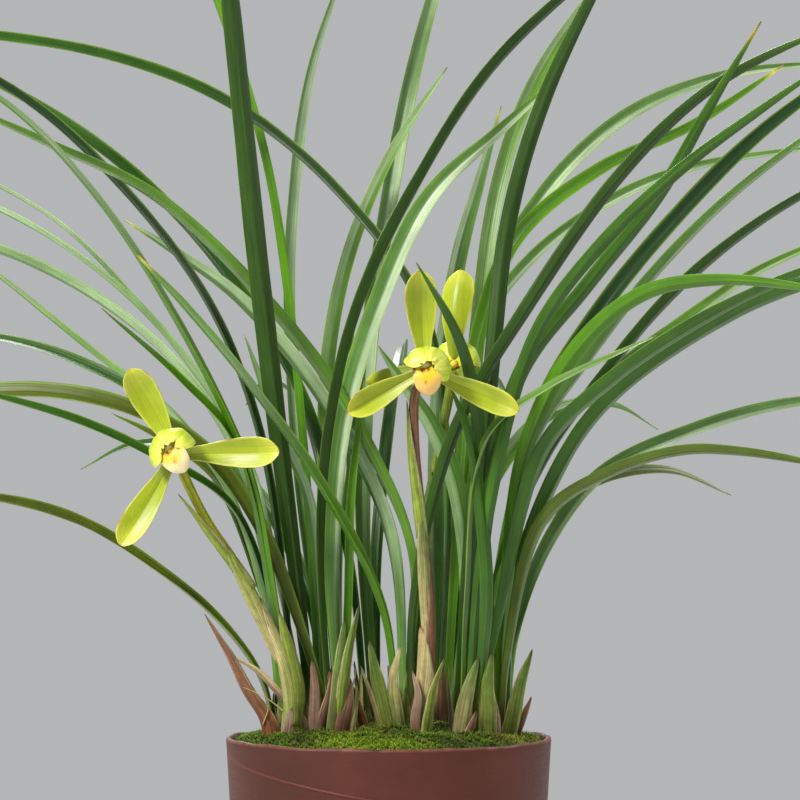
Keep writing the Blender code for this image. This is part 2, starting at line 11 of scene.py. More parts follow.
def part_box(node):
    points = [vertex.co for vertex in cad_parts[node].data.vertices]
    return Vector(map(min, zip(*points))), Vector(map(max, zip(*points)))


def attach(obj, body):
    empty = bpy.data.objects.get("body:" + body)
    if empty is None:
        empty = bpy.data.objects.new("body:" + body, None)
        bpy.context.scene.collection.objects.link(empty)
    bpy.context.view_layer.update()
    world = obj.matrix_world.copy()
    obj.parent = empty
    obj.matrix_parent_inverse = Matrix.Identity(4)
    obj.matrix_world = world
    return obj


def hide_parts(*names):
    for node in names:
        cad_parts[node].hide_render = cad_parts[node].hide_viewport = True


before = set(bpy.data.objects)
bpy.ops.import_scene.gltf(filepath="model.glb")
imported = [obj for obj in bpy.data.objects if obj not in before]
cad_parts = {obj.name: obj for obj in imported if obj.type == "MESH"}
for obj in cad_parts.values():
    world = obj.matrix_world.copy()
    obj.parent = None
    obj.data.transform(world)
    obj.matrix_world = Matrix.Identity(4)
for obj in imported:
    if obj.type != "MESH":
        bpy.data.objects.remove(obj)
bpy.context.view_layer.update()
mm = 0.001
curveSteps = 24  # places read between two points of a path
waveBands = 3.2  # bands that a wave texture draws in one unit at scale 1
sideways = np.array([1.0, 0.0, 0.0])
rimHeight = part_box("pot")[1].z / mm  # leaf and flower rows give heights from the rim
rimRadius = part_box("pot")[1].x / mm
print("frame loaded, rim at", round(rimHeight, 1), "mm")


def linear(red, green, blue):
    parts = []
    for value in (red, green, blue):
        value = value / 255
        parts.append(value / 12.92 if value <= 0.04045 else ((value + 0.055) / 1.055) ** 2.4)
    return np.array(parts)


# shared shape helpers, all in millimetres until a mesh is made

def blotch(x, y, z):
    return noise.noise(Vector((x, y, z)))


def unit(v):
    return v / np.maximum(np.linalg.norm(v, axis=-1, keepdims=True), 1e-9)


def smoothPath(points, count):
    # centripetal curve through the points, read at even steps
    p = [np.array(q, float) for q in points]
    p = [2 * p[0] - p[1], *p, 2 * p[-1] - p[-2]]
    fine = []
    for p0, p1, p2, p3 in zip(p, p[1:], p[2:], p[3:]):
        t1 = np.linalg.norm(p1 - p0) ** 0.5
        t2 = t1 + np.linalg.norm(p2 - p1) ** 0.5
        t3 = t2 + np.linalg.norm(p3 - p2) ** 0.5
        for t in np.linspace(t1, t2, curveSteps, endpoint=False):
            a1 = (t1 - t) / t1 * p0 + t / t1 * p1
            a2 = (t2 - t) / (t2 - t1) * p1 + (t - t1) / (t2 - t1) * p2
            a3 = (t3 - t) / (t3 - t2) * p2 + (t - t2) / (t3 - t2) * p3
            b1 = (t2 - t) / t2 * a1 + t / t2 * a2
            b2 = (t3 - t) / (t3 - t1) * a2 + (t - t1) / (t3 - t1) * a3
            fine.append((t2 - t) / (t2 - t1) * b1 + (t - t1) / (t2 - t1) * b2)
    fine = np.array([*fine, p[-2]])
    run = np.concatenate([[0], np.cumsum(np.linalg.norm(np.diff(fine, axis=0), axis=1))])
    wanted = np.linspace(0, run[-1], count)
    return np.stack([np.interp(wanted, run, fine[:, i]) for i in range(3)], axis=1), run[-1]


def eased(table, at):
    # a (place, value) table, read with its corners softened
    xs, ys = zip(*table)
    near = np.interp(at - 0.03, xs, ys) + np.interp(at + 0.03, xs, ys)
    return (np.interp(at, xs, ys) * 2 + near) / 4


def drift(seed, at):
    # a slow wander along a piece, the same each run
    return np.array([blotch(seed * 7.31, a, 3.7) for a in at])


def meshObject(name, verts, faces, tints, uvs=None):
    data = bpy.data.meshes.new(name)
    data.from_pydata((np.asarray(verts) * mm).tolist(), [], faces)
    data.update()
    data.shade_smooth()
    layer = data.color_attributes.new("tint", "FLOAT_COLOR", "POINT")
    flat = np.concatenate([np.asarray(tints), np.ones((len(tints), 1))], axis=1)
    layer.data.foreach_set("color", flat.astype(np.float32).ravel())
    if uvs is not None:
        layer = data.uv_layers.new(name="bladeMap")
        corner = np.empty(len(data.loops), np.int32)
        data.loops.foreach_get("vertex_index", corner)
        layer.data.foreach_set("uv", uvs[corner].astype(np.float32).ravel())
    obj = bpy.data.objects.new(name, data)
    bpy.context.scene.collection.objects.link(obj)
    return obj


def sheetParts(grid, thick, tint, uv, keel=0.0, lowTint=None):
    # a thin closed sheet: grid is (along, across, 3), with sharp side edges and an optional ridge below
    rows, cols = grid.shape[:2]
    normals = unit(np.cross(np.gradient(grid, axis=0), np.gradient(grid, axis=1)))
    thick = np.broadcast_to(np.asarray(thick, float), (rows, cols))[..., None]
    low = grid - (thick / 2 + np.broadcast_to(keel, (rows, cols))[..., None]) * normals
    verts = np.concatenate([(grid + thick / 2 * normals).reshape(-1, 3), low[:, 1:-1].reshape(-1, 3)])
    top = np.arange(rows * cols).reshape(rows, cols)
    under = rows * cols + np.arange(rows * (cols - 2)).reshape(rows, cols - 2)
    under = np.concatenate([top[:, :1], under, top[:, -1:]], axis=1)
    faces = np.stack([top[:-1, :-1], top[1:, :-1], top[1:, 1:], top[:-1, 1:]], -1).reshape(-1, 4).tolist()
    back = [under[:-1, :-1], under[:-1, 1:], under[1:, 1:], under[1:, :-1]]
    faces += np.stack(back, -1).reshape(-1, 4).tolist()
    for end, turn in ((0, 1), (rows - 1, -1)):
        for k in range(cols - 1):
            ring = [top[end, k], top[end, k + 1], under[end, k + 1], under[end, k]]
            faces.append(list(dict.fromkeys(int(i) for i in ring))[::turn])
    lowTint = tint if lowTint is None else lowTint
    tints = np.concatenate([tint.reshape(-1, 3), lowTint[:, 1:-1].reshape(-1, 3)])
    uvs = np.concatenate([uv.reshape(-1, 2), uv[:, 1:-1].reshape(-1, 2)])
    return verts, faces, tints, uvs


def tubeParts(path, radii, sides, tintAt, ribs=0, ribDepth=0.0):
    # a closed round stem; tintAt gives a colour for a share of the length and a share of the way round
    right, face = bladeFrame(path, sideways, np.zeros(len(path)))
    angles = np.linspace(0, 2 * pi, sides, endpoint=False)
    swell = 1 + ribDepth * np.cos(angles * ribs)
    ring = np.cos(angles)[:, None, None] * right + np.sin(angles)[:, None, None] * face
    grid = path[:, None] + (radii[:, None] * swell)[..., None] * ring.transpose(1, 0, 2)
    verts = [*grid.reshape(-1, 3), path[0], path[-1]]
    faces, tints, uvs = [], [], []
    run = np.concatenate([[0], np.cumsum(np.linalg.norm(np.diff(path, axis=0), axis=1))])
    last = (len(path) - 1) * sides
    for i in range(len(path)):
        for k in range(sides):
            tints.append(tintAt(i / (len(path) - 1), k / sides))
            uvs.append((abs(k / sides - 0.5) * 2 * pi * radii[i], run[i]))
    for low in range(0, last, sides):
        faces += bandFaces(low, low + sides, sides)
    for k in range(sides):
        n = (k + 1) % sides
        faces.append((len(verts) - 2, n, k))
        faces.append((len(verts) - 1, last + k, last + n))
    tints += [tintAt(0, 0), tintAt(1, 0)]
    uvs += [(0, 0), (0, run[-1])]
    return np.array(verts), faces, np.array(tints), np.array(uvs)


def bandFaces(low, high, sides):
    # four-sided faces between two rings of points
    return [(low + k, low + (k + 1) % sides, high + (k + 1) % sides, high + k) for k in range(sides)]


def joinParts(parts):
    verts, faces, tints, uvs = [], [], [], []
    start = 0
    for v, f, t, u in parts:
        verts.append(v)
        faces += [[i + start for i in ring] for ring in f]
        tints.append(t)
        uvs.append(u)
        start += len(v)
    return np.concatenate(verts), faces, np.concatenate(tints), np.concatenate(uvs)


def finishPiece(obj, material, slot, *nodes):
    obj.data.materials.append(material)
    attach(obj, "root")
    if nodes:
        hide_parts(*nodes)


def pieceName(kind, name):
    return kind + name[0].upper() + name[1:]


def makePiece(name, parts, material, slot, *nodes):
    finishPiece(meshObject(name, *parts), material, slot, *nodes)


def bladeFrame(path, side, twist):
    # right and facing directions along a path, turned about it by the twist in radians
    along = unit(np.gradient(path, axis=0))
    flat = unit(side - (along @ side)[:, None] * along)
    up = np.cross(along, flat)
    right = np.cos(twist)[:, None] * flat + np.sin(twist)[:, None] * up
    return right, np.cross(along, right)


def mixed(first, second, share):
    share = np.clip(share, 0, 1)[..., None]
    return first * (1 - share) + second * share


# shared material helpers

def newMaterial(name):
    made = bpy.data.materials.new(name)
    made.use_nodes = True
    return made, made.node_tree, made.node_tree.nodes["Principled BSDF"]


def setInputs(node, values):
    for key, value in values.items():
        node.inputs[key].default_value = value


def addNode(tree, kind, **values):
    made = tree.nodes.new(kind)
    for key, value in values.items():
        if key in made.inputs:
            made.inputs[key].default_value = value
        else:
            setattr(made, key, value)
    return made


def mathNode(tree, operation, *values):
    made = addNode(tree, "ShaderNodeMath", operation=operation)
    for socket, value in zip(made.inputs, values):
        if isinstance(value, float):
            socket.default_value = value
        else:
            tree.links.new(value, socket)
    return made.outputs[0]


def product(tree, first, *others):
    for other in others:
        first = mathNode(tree, "MULTIPLY", first, other)
    return first


def millimetres(tree, stretch=(1, 1, 1)):
    # object coordinates in millimetres, so that a texture's scale is per millimetre
    place = tree.nodes.new("ShaderNodeTexCoord")
    scale = addNode(tree, "ShaderNodeMapping", Scale=[s / mm for s in stretch])
    tree.links.new(place.outputs["Object"], scale.inputs["Vector"])
    return scale.outputs[0]


def bladeVector(tree, acrossScale, alongScale):
    # across and along a blade in millimetres, from its own map
    place = addNode(tree, "ShaderNodeUVMap", uv_map="bladeMap")
    scale = addNode(tree, "ShaderNodeMapping", Scale=(acrossScale, alongScale, 1))
    tree.links.new(place.outputs[0], scale.inputs["Vector"])
    return scale.outputs[0]


def noiseNode(tree, vector, scale, detail=3.0, rough=0.5):
    made = addNode(tree, "ShaderNodeTexNoise", Scale=scale, Detail=detail, Roughness=rough)
    tree.links.new(vector, made.inputs["Vector"])
    return made.outputs["Fac"]


def spread(tree, value, low, high, fromLow=0.3, fromHigh=0.7):
    made = tree.nodes.new("ShaderNodeMapRange")
    setInputs(made, {"From Min": fromLow, "From Max": fromHigh, "To Min": low, "To Max": high})
    tree.links.new(value, made.inputs["Value"])
    return made.outputs[0]


def tintTimes(tree, factor):
    colour = addNode(tree, "ShaderNodeAttribute", attribute_name="tint").outputs["Color"]
    made = addNode(tree, "ShaderNodeVectorMath", operation="SCALE")
    tree.links.new(colour, made.inputs[0])
    tree.links.new(factor, made.inputs["Scale"])
    return made.outputs[0]


def addBump(tree, shader, height, strength, distance):
    bump = addNode(tree, "ShaderNodeBump", Strength=strength, Distance=distance * mm)
    tree.links.new(height, bump.inputs["Height"])
    tree.links.new(bump.outputs[0], shader.inputs["Normal"])


def bladeMaterial(name, look):
    # veins and streaks along a blade, mottling, and a roughness that varies
    made, tree, shader = newMaterial(name)
    veins = addNode(tree, "ShaderNodeTexWave", wave_type="BANDS", bands_direction="X",
                    Scale=look["veinsPerMm"] / waveBands, Distortion=look["veinWander"], Detail=1.0)
    tree.links.new(bladeVector(tree, 1, 0.02), veins.inputs["Vector"])
    streaks = noiseNode(tree, bladeVector(tree, 1.0, 0.03), 1.0, 1.5, 0.5)
    mottle = noiseNode(tree, millimetres(tree), look["mottleScale"], 4.0, 0.6)
    factor = product(tree, spread(tree, streaks, *look["streakDepth"]),
                     spread(tree, veins.outputs["Fac"], *look["veinDepth"], 0, 1),
                     spread(tree, mottle, *look["mottleDepth"]))
    tree.links.new(tintTimes(tree, factor), shader.inputs["Base Color"])
    tree.links.new(spread(tree, streaks, *look["roughness"]), shader.inputs["Roughness"])
    height = mathNode(tree, "MULTIPLY_ADD", streaks, 1.5, veins.outputs["Fac"])
    addBump(tree, shader, height, look["bump"], 0.1)
    setInputs(shader, {
        "Specular IOR Level": look["specular"], "Sheen Weight": look["sheen"],
        "Subsurface Weight": look["glow"], "Subsurface Radius": look["glowRadius"], "Subsurface Scale": mm,
    })
    return made


# pot: thin uneven cut edge, and one raised line that winds down the wall
pot = {
    "sides": 192,
    "baseRadius": 52.0,
    "wall": 2.2,
    "footInner": 43.5,
    "footRecess": 2.0,
    "heel": 1.5,  # radius where the wall meets the floor
    "centrePad": 16.0,
    "drainRadius": 4.0,
    "drainHoles": 5,
    "rimWaver": 0.5,
    "threadWidth": 1.5,
    "threadHeight": 0.5,
    "threadStart": 188,
    "threadTurns": 2.0,
    "threadBelowRim": 5.5,
    "threadPitch": 62.25,
    "threadSteps": 150,  # in each turn
    "threadArc": 9,  # points across the line
    "colour": linear(92, 44, 32),
    "deepColour": linear(74, 37, 28),
    # the rounded rim is painted paler than the wall: partly the cut edge's own clay, partly painted
    # highlight
    "rimClayAndHighlight": linear(118, 72, 56),
    "insideColour": linear(112, 82, 76),
}


def wallRadius(z):
    return pot["baseRadius"] + (rimRadius - pot["baseRadius"]) * z / rimHeight


def potMaterial():
    made, tree, shader = newMaterial("potClay")
    place = millimetres(tree)
    cloud = noiseNode(tree, place, 0.05, 4.0, 0.6)
    grain = noiseNode(tree, place, 2.2, 3.0, 0.7)
    scuff = noiseNode(tree, millimetres(tree, (0.4, 0.4, 3.0)), 0.35, 5.0, 0.7)
    speck = addNode(tree, "ShaderNodeTexVoronoi", Scale=0.55)
    tree.links.new(place, speck.inputs["Vector"])
    factor = product(tree, spread(tree, cloud, 0.86, 1.12), spread(tree, grain, 0.93, 1.07),
                     spread(tree, scuff, 0.94, 1.08),
                     spread(tree, speck.outputs["Distance"], 1.35, 1.0, 0.05, 0.14))
    tree.links.new(tintTimes(tree, factor), shader.inputs["Base Color"])
    tree.links.new(spread(tree, scuff, 0.42, 0.58), shader.inputs["Roughness"])
    addBump(tree, shader, mathNode(tree, "MULTIPLY_ADD", scuff, 0.6, grain), 0.25, 0.08)
    shader.inputs["Specular IOR Level"].default_value = 0.28
    return made


def turnedMesh(profile, sides, shape):
    # profile of (radius, height, kind) from the middle of the underside round to the middle inside
    verts, tints, faces, starts = [], [], [], []
    for r, z, kind in profile:
        starts.append(len(verts))
        for k in range(1 if r == 0 else sides):
            place, tint = shape(r, z, kind, 2 * pi * k / sides)
            verts.append(place)
            tints.append(tint)
    for i in range(len(profile) - 1):
        a, b = starts[i], starts[i + 1]
        if profile[i][0] == 0:
            faces += [(a, b + (k + 1) % sides, b + k) for k in range(sides)]
        elif profile[i + 1][0] == 0:
            faces += [(a + k, a + (k + 1) % sides, b) for k in range(sides)]
        else:
            faces += bandFaces(a, b, sides)
    return np.array(verts), faces, np.array(tints)


def makePot():
    h = rimHeight
    w = pot["wall"]
    pad = pot["centrePad"]
    foot = pot["footInner"]
    deep = pot["footRecess"]
    profile = [(0, 0, 0), (pad * 0.5, 0, 0), (pad, 0, 0), (pad + 1, deep, 0)]
    profile += [(foot - 1, deep, 0), (foot, 0, 0)]
    heel = pot["heel"]
    for z in (0.0, 0.2 * heel, 0.8, heel):
        profile.append((wallRadius(z) - heel * (1 - z / heel) ** 1.5, z, 0))
    profile += [(wallRadius(z), z, 0) for z in np.linspace(4, h - 4, 26)]
    profile += [(wallRadius(h) - 0.04, h - 1.4, 0.3), (wallRadius(h) - 0.12, h - 0.7, 0.8)]
    profile += [(wallRadius(h) - 0.5, h - 0.12, 1), (wallRadius(h) - w / 2, h, 1)]
    profile += [(wallRadius(h) - w + 0.45, h - 0.12, 1), (wallRadius(h) - w + 0.1, h - 0.7, 0.8)]
    profile += [(wallRadius(z) - w, z, -1) for z in (*np.linspace(h - 1.8, h - 12, 8), 60.0, 6.0)]
    profile += [(wallRadius(4) - w - 2, 4, -1), (14, 4, -1), (0, 4, -1)]

    def shape(r, z, kind, angle):
        x = cos(angle)
        y = sin(angle)
        place = Vector((x * 2.1, y * 2.1, 0.4))
        waver = noise.noise(place * 2.5) + 0.5 * noise.noise(place * 8) - 0.45
        sag = max(kind, 0) * pot["rimWaver"] * waver
        out = 1 + 0.003 * noise.noise(place) * min(1.0, z / 20) if kind >= 0 else 1.0
        where = (r * out * x, r * out * y, min(z + sag, h))
        # rim: a paler tint, lighter in places; partly its own clay, partly painted highlight
        if kind > 0.5:
            return where, pot["rimClayAndHighlight"] * (0.75 + 0.5 * noise.noise(place * 11))
        if kind < 0:
            return where, pot["insideColour"]
        shade = 0.5 + 0.9 * blotch(x * 1.5, y * 1.5, z * 0.012)
        return where, pot["colour"] * shade + pot["deepColour"] * (1 - shade)

    verts, faces, tints = turnedMesh(profile, pot["sides"], shape)
    body = meshObject("potBody", verts, faces, tints)
    for k in range(pot["drainHoles"]):
        angle = 2 * pi * (k + 0.5) / pot["drainHoles"]
        ring = (foot + pad) / 2 * mm
        bpy.ops.mesh.primitive_cylinder_add(vertices=32, radius=pot["drainRadius"] * mm, depth=20 * mm,
                                            location=(ring * cos(angle), ring * sin(angle), 0))
        cutter = bpy.context.object
        hole = body.modifiers.new("drain", "BOOLEAN")
        hole.object = cutter
        hole.operation = "DIFFERENCE"
        bpy.context.view_layer.objects.active = body
        bpy.ops.object.modifier_apply(modifier=hole.name)
        bpy.data.objects.remove(cutter)
    material = potMaterial()
    finishPiece(body, material, "pot", "pot")
    steps = int(pot["threadSteps"] * pot["threadTurns"])
    arc = pot["threadArc"]
    rings = []
    for i in range(steps + 1):
        share = i / steps
        turn = share * pot["threadTurns"]
        angle = radians(pot["threadStart"]) + turn * 2 * pi
        z = h - pot["threadBelowRim"] - turn * pot["threadPitch"]
        swell = min(1.0, 14 * share + 0.25, 14 * (1 - share) + 0.25)
        wide = pot["threadWidth"] / 2 * (0.9 + 0.25 * blotch(turn * 5, 1, 1))
        for part in range(arc):
            bend = pi * part / (arc - 1)
            r = wallRadius(z) - 0.25 + (0.25 + pot["threadHeight"] * swell) * sin(bend)
            rings.append((r * cos(angle), r * sin(angle), z + wide * cos(bend)))
    faces = []
    for i in range(steps):
        faces += bandFaces(i * arc, (i + 1) * arc, arc)
    faces += [tuple(range(arc - 1, -1, -1)), tuple(range(steps * arc, steps * arc + arc))]
    # the raised line's upper half is painted lighter and its lower half darker: painted highlight above,
    # painted shade below
    tints = [pot["colour"] * (1.0 + 0.2 * cos(pi * (i % arc) / (arc - 1))) for i in range(len(rings))]
    makePiece("potThread", (rings, faces, tints), material, "pot")
    print("pot made")


makePot()


# moss: a lumpy bed under many small tufts, with bits of bark lying on it
moss = {
    "wall": 2.2,
    "rings": 46,
    "sides": 150,
    "edgeBelowRim": 2.5,
    "depthBelowRim": 10.5,
    "dome": 7.0,
    "lump": 0.9,
    "tufts": 4800,
    "sprigs": (4, 5, 6),
    "sprigLength": (1.1, 2.5),
    "sprigWidth": 0.42,
    "crumbs": 150,
    "bright": linear(150, 184, 32),
    "mid": linear(88, 122, 22),
    "dark": linear(40, 56, 16),
    "yellow": linear(184, 166, 66),
    "soil": linear(58, 42, 28),
    "bark": linear(104, 72, 46),
}
# places where the moss is bright or yellowed: x, y, reach, colour, share
mossPatches = (
    (-15, -46, 17, "bright", 0.95),
    (6, -48, 13, "bright", 0.55),
    (-42, -30, 10, "mid", 0.9),
    (30, -40, 9, "dark", 0.7),
    (-12, -14, 10, "yellow", 0.6),
    (-10, 12, 12, "yellow", 0.5),
    (47, -18, 12, "yellow", 0.45),
    (44, 22, 15, "bright", 0.6),
    (0, 44, 18, "bright", 0.5),
    (-42, 26, 14, "bright", 0.55),
    (16, -24, 8, "bright", 0.6),
    (-30, -36, 6, "soil", 0.7),
    (16, -36, 6, "soil", 0.5),
)


def mossHeight(x, y):
    reach = rimRadius - moss["wall"]
    out = np.minimum(1.0, np.hypot(x, y) / reach)
    lump = np.sin(x / 6.1 + 1.3) * np.sin(y / 5.3 - 0.4)
    lump = lump + 0.5 * np.sin((x + y) / 3.7) * np.cos((x - y) / 4.3)
    top = moss["dome"] * (1 - out**2) ** 0.8 + moss["lump"] * lump * (1 - out**4)
    return rimHeight - moss["edgeBelowRim"] + top


# where each shoot stands, in millimetres right of and behind the pot's axis
shoots = {
    "a": (-38, -4), "b": (-27, 8), "c": (-18, -9), "d": (-6, 14), "e": (6, -4),
    "f": (18, 18), "g": (28, -10), "h": (40, 4), "i": (22, 36), "j": (-20, 30),
}


def mossTint(x, y):
    patch = blotch(x * 0.11, y * 0.11, 5.0) + 0.5 * blotch(x * 0.33, y * 0.33, 9.0)
    colour = mixed(moss["dark"], moss["mid"], 0.62 + 0.9 * patch)
    for px, py, reach, name, share in mossPatches:
        near = math.exp(-((x - px) ** 2 + (y - py) ** 2) / reach**2)
        wave = 0.75 + 0.6 * blotch(x * 0.4, y * 0.4, 2.0)
        colour = mixed(colour, moss[name], share * near * wave)
    # dark litter lies round the shoots
    # darker soil-brown round the shoots: partly litter, partly painted shade at the shoots' feet
    close = min(math.hypot(x - sx, y - sy) for sx, sy in shoots.values())
    litterAndShade = math.exp(-((close / 7) ** 2)) * (0.8 + 0.9 * blotch(x * 0.5, y * 0.5, 12.0))
    return mixed(colour, moss["soil"], 0.9 * litterAndShade) * 0.9


def mossMaterial():
    made, tree, shader = newMaterial("mossGreen")
    place = millimetres(tree)
    fine = noiseNode(tree, place, 1.6, 4.0, 0.7)
    cloud = noiseNode(tree, place, 0.35, 2.0, 0.5)
    factor = product(tree, spread(tree, fine, 0.7, 1.35), spread(tree, cloud, 0.85, 1.15))
    tree.links.new(tintTimes(tree, factor), shader.inputs["Base Color"])
    tree.links.new(spread(tree, fine, 0.6, 0.85), shader.inputs["Roughness"])
    addBump(tree, shader, fine, 0.5, 0.3)
    setInputs(shader, {
        "Specular IOR Level": 0.3, "Subsurface Weight": 0.12,
        "Subsurface Radius": (0.5, 0.9, 0.15), "Subsurface Scale": mm,
    })
    return made


def makeMoss():
    reach = wallRadius(rimHeight - moss["edgeBelowRim"]) - moss["wall"] - 0.15
    rings, sides = moss["rings"], moss["sides"]
    verts, tints = [], []
    for k in range(rings + 1):
        for s in range(sides if k else 1):
            angle = 2 * pi * s / sides
            x = reach * k / rings * cos(angle)
            y = reach * k / rings * sin(angle)
            rough = 0.9 * blotch(x * 0.5, y * 0.5, 1) + 0.5 * blotch(x * 1.4, y * 1.4, 2)
            verts.append((x, y, float(mossHeight(x, y)) - 0.4 + rough))
            tints.append(mixed(mossTint(x, y), moss["soil"], 0.45 + rough * 0.5))
    low = rimHeight - moss["depthBelowRim"]
    under = len(verts)
    for s in range(sides):
        angle = 2 * pi * s / sides
        r = wallRadius(low) - moss["wall"] - 0.3
        verts.append((r * cos(angle), r * sin(angle), low))
        tints.append(moss["soil"])
    faces = [(0, 1 + s, 1 + (s + 1) % sides) for s in range(sides)]
    for k in range(1, rings + 1):
        a = 1 + (k - 1) * sides
        b = a + sides if k < rings else under
        for s in range(sides):
            n = (s + 1) % sides
            faces.append((a + s, b + s, b + n, a + n))
    faces.append(tuple(range(under + sides - 1, under - 1, -1)))
    material = mossMaterial()
    makePiece("mossBed", (verts, faces, tints), material, "moss", "moss")

    pick = random.Random(41)

    def spotWithin(limit):
        r = limit * math.sqrt(pick.random())
        angle = pick.uniform(0, 2 * pi)
        return r * cos(angle), r * sin(angle)

    verts, faces, tints = [], [], []
    for _ in range(moss["tufts"]):
        x, y = spotWithin(reach - 1.2)
        foot = Vector((x, y, float(mossHeight(x, y)) - 0.5))
        colour = mossTint(x, y) * pick.uniform(0.7, 1.4)
        tall = pick.uniform(0.75, 1.25)
        for _ in range(pick.choice(moss["sprigs"])):
            turn = pick.uniform(0, 2 * pi)
            lean = pick.uniform(0.25, 1.15)
            length = pick.uniform(*moss["sprigLength"]) * tall
            out = Vector((cos(turn), sin(turn), 0))
            aside = Vector((-out.y, out.x, 0)) * moss["sprigWidth"] / 2
            bend = foot + out * length * 0.45 * sin(lean) + Vector((0, 0, length * 0.62))
            tip = foot + out * length * sin(lean) + Vector((0, 0, length * cos(lean * 0.8)))
            if math.hypot(tip.x, tip.y) > reach:
                continue
            i = len(verts)
            keel = Vector((0, 0, -0.12))
            verts += [foot - aside * 0.6, foot + aside * 0.6, bend + aside, bend - aside, tip, bend + keel]
            faces += [(i, i + 5, i + 3), (i, i + 1, i + 5), (i + 1, i + 2, i + 5)]
            faces += [(i + 3, i + 5, i + 4), (i + 5, i + 2, i + 4)]
            faces += [(i + 1, i, i + 3, i + 2), (i + 2, i + 3, i + 4)]
            tone = colour * (0.85 + 0.3 * pick.random())
            tints += [tone * 0.55, tone * 0.55, tone, tone, tone * 1.35, tone * 0.9]
    makePiece("mossTufts", (verts, faces, tints), material, "moss")

    # crumbs of bark and dead leaf lying on the moss
    verts, faces, tints = [], [], []
    for _ in range(moss["crumbs"]):
        x, y = spotWithin(reach - 3)
        middle = Vector((x, y, float(mossHeight(x, y)) + pick.uniform(-0.3, 0.9)))
        turn = pick.uniform(0, pi)
        size = Vector((pick.uniform(0.8, 2.6), pick.uniform(0.5, 1.3), pick.uniform(0.3, 0.8)))
        tone = moss["bark"] * pick.uniform(0.5, 1.5)
        i = len(verts)
        for sx, sy, sz in ((-1, -0.6, -1), (0.8, -1, -1), (1, 0.7, -1), (-0.7, 1, -1),
                           (-0.8, -0.5, 1), (0.6, -0.8, 0.7), (0.8, 0.6, 1), (-0.5, 0.8, 0.8)):
            v = Vector((sx * size.x, sy * size.y, sz * size.z)) * pick.uniform(0.4, 0.6)
            v = Vector((v.x * cos(turn) - v.y * sin(turn), v.x * sin(turn) + v.y * cos(turn), v.z))
            verts.append(middle + v)
            tints.append(tone * pick.uniform(0.85, 1.15))
        for ring in ((3, 2, 1, 0), (4, 5, 6, 7), (0, 1, 5, 4), (1, 2, 6, 5), (2, 3, 7, 6), (3, 0, 4, 7)):
            faces.append([i + k for k in ring])
    makePiece("barkCrumbs", (verts, faces, tints), material, "potting_mix")
    print("moss made")


makeMoss()


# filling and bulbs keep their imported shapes, under the moss
# node: material, colour, colour of its grain, lumps in a millimetre, roughness
filling = {
    "potting_mix": ("barkMix", linear(72, 52, 36), linear(122, 90, 60), 0.35, (0.75, 0.95)),
    "rhizome": ("bulbSkin", linear(120, 116, 62), linear(150, 120, 78), 0.25, (0.45, 0.65)),
}


def groundMaterial(name, colour, grainColour, grainScale, rough):
    made, tree, shader = newMaterial(name)
    place = millimetres(tree)
    lumps = addNode(tree, "ShaderNodeTexVoronoi", Scale=grainScale)
    tree.links.new(place, lumps.inputs["Vector"])
    grain = noiseNode(tree, place, grainScale * 3, 4.0, 0.7)
    blend = tree.nodes.new("ShaderNodeMix")
    blend.data_type = "RGBA"
    setInputs(blend, {"A": (*colour, 1), "B": (*grainColour, 1)})
    tree.links.new(spread(tree, grain, 0, 1), blend.inputs["Factor"])
    tree.links.new(blend.outputs["Result"], shader.inputs["Base Color"])
    tree.links.new(spread(tree, grain, *rough), shader.inputs["Roughness"])
    addBump(tree, shader, mathNode(tree, "ADD", lumps.outputs["Distance"], grain), 0.6, 0.5)
    return made


for name, look in filling.items():
    material = groundMaterial(*look)
    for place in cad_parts[name].material_slots:
        place.material = material
print("filling and bulbs dressed")


# leaves: narrow blades, folded along the midrib, arching out of each shoot
leaf = {
    "thick": 0.34,
    "keel": 0.3,
    "stations": 64,
    "foldLow": 0.75,
    "foldHigh": 0.25,
    "startAboveRim": 1.9,
    # tones per leaf: partly each leaf's own green, partly painted light and shade, darker for leaves that
    # sit in shade; the greyish pale tone stands for painted sheen
    "tones": {
        "deep": linear(26, 52, 8),
        "blue": linear(26, 58, 18),
        "mid": linear(42, 82, 8),
        "bright": linear(74, 122, 8),
        "lime": linear(98, 134, 12),
        "olive": linear(76, 90, 16),
        "pale": linear(84, 124, 36),
        "satin": linear(88, 126, 58),
    },
    "foot": linear(140, 152, 70),
    "edge": linear(140, 172, 60),
    # painted highlight colour, laid on one half of some blades
    "paintedHighlight": linear(186, 204, 168),
    "paintedHighlightShare": {"satin": 0.75, "pale": 0.4},
    "yellowTip": linear(222, 196, 62),
    "orangeTip": linear(206, 138, 52),
    "deadTip": linear(120, 72, 40),
    "footReach": 26,  # how far the pale foot, the tips' colours and the shine's runs go, in millimetres
    "yellowReach": 9,
    "orangeReach": 6,
    "deadReach": 2.2,
    "paintedHighlightRun": 55,
}
# how wide a blade is along its length, as shares of its length and of its width
leafShape = (
    (0.0, 0.5), (0.12, 0.6), (0.3, 0.9), (0.5, 1.0), (0.72, 0.92), (0.88, 0.6), (0.97, 0.25), (1.0, 0.04))
leafColumns = np.array((-1, -0.94, -0.72, -0.44, -0.16, 0, 0.16, 0.44, 0.72, 0.94, 1))
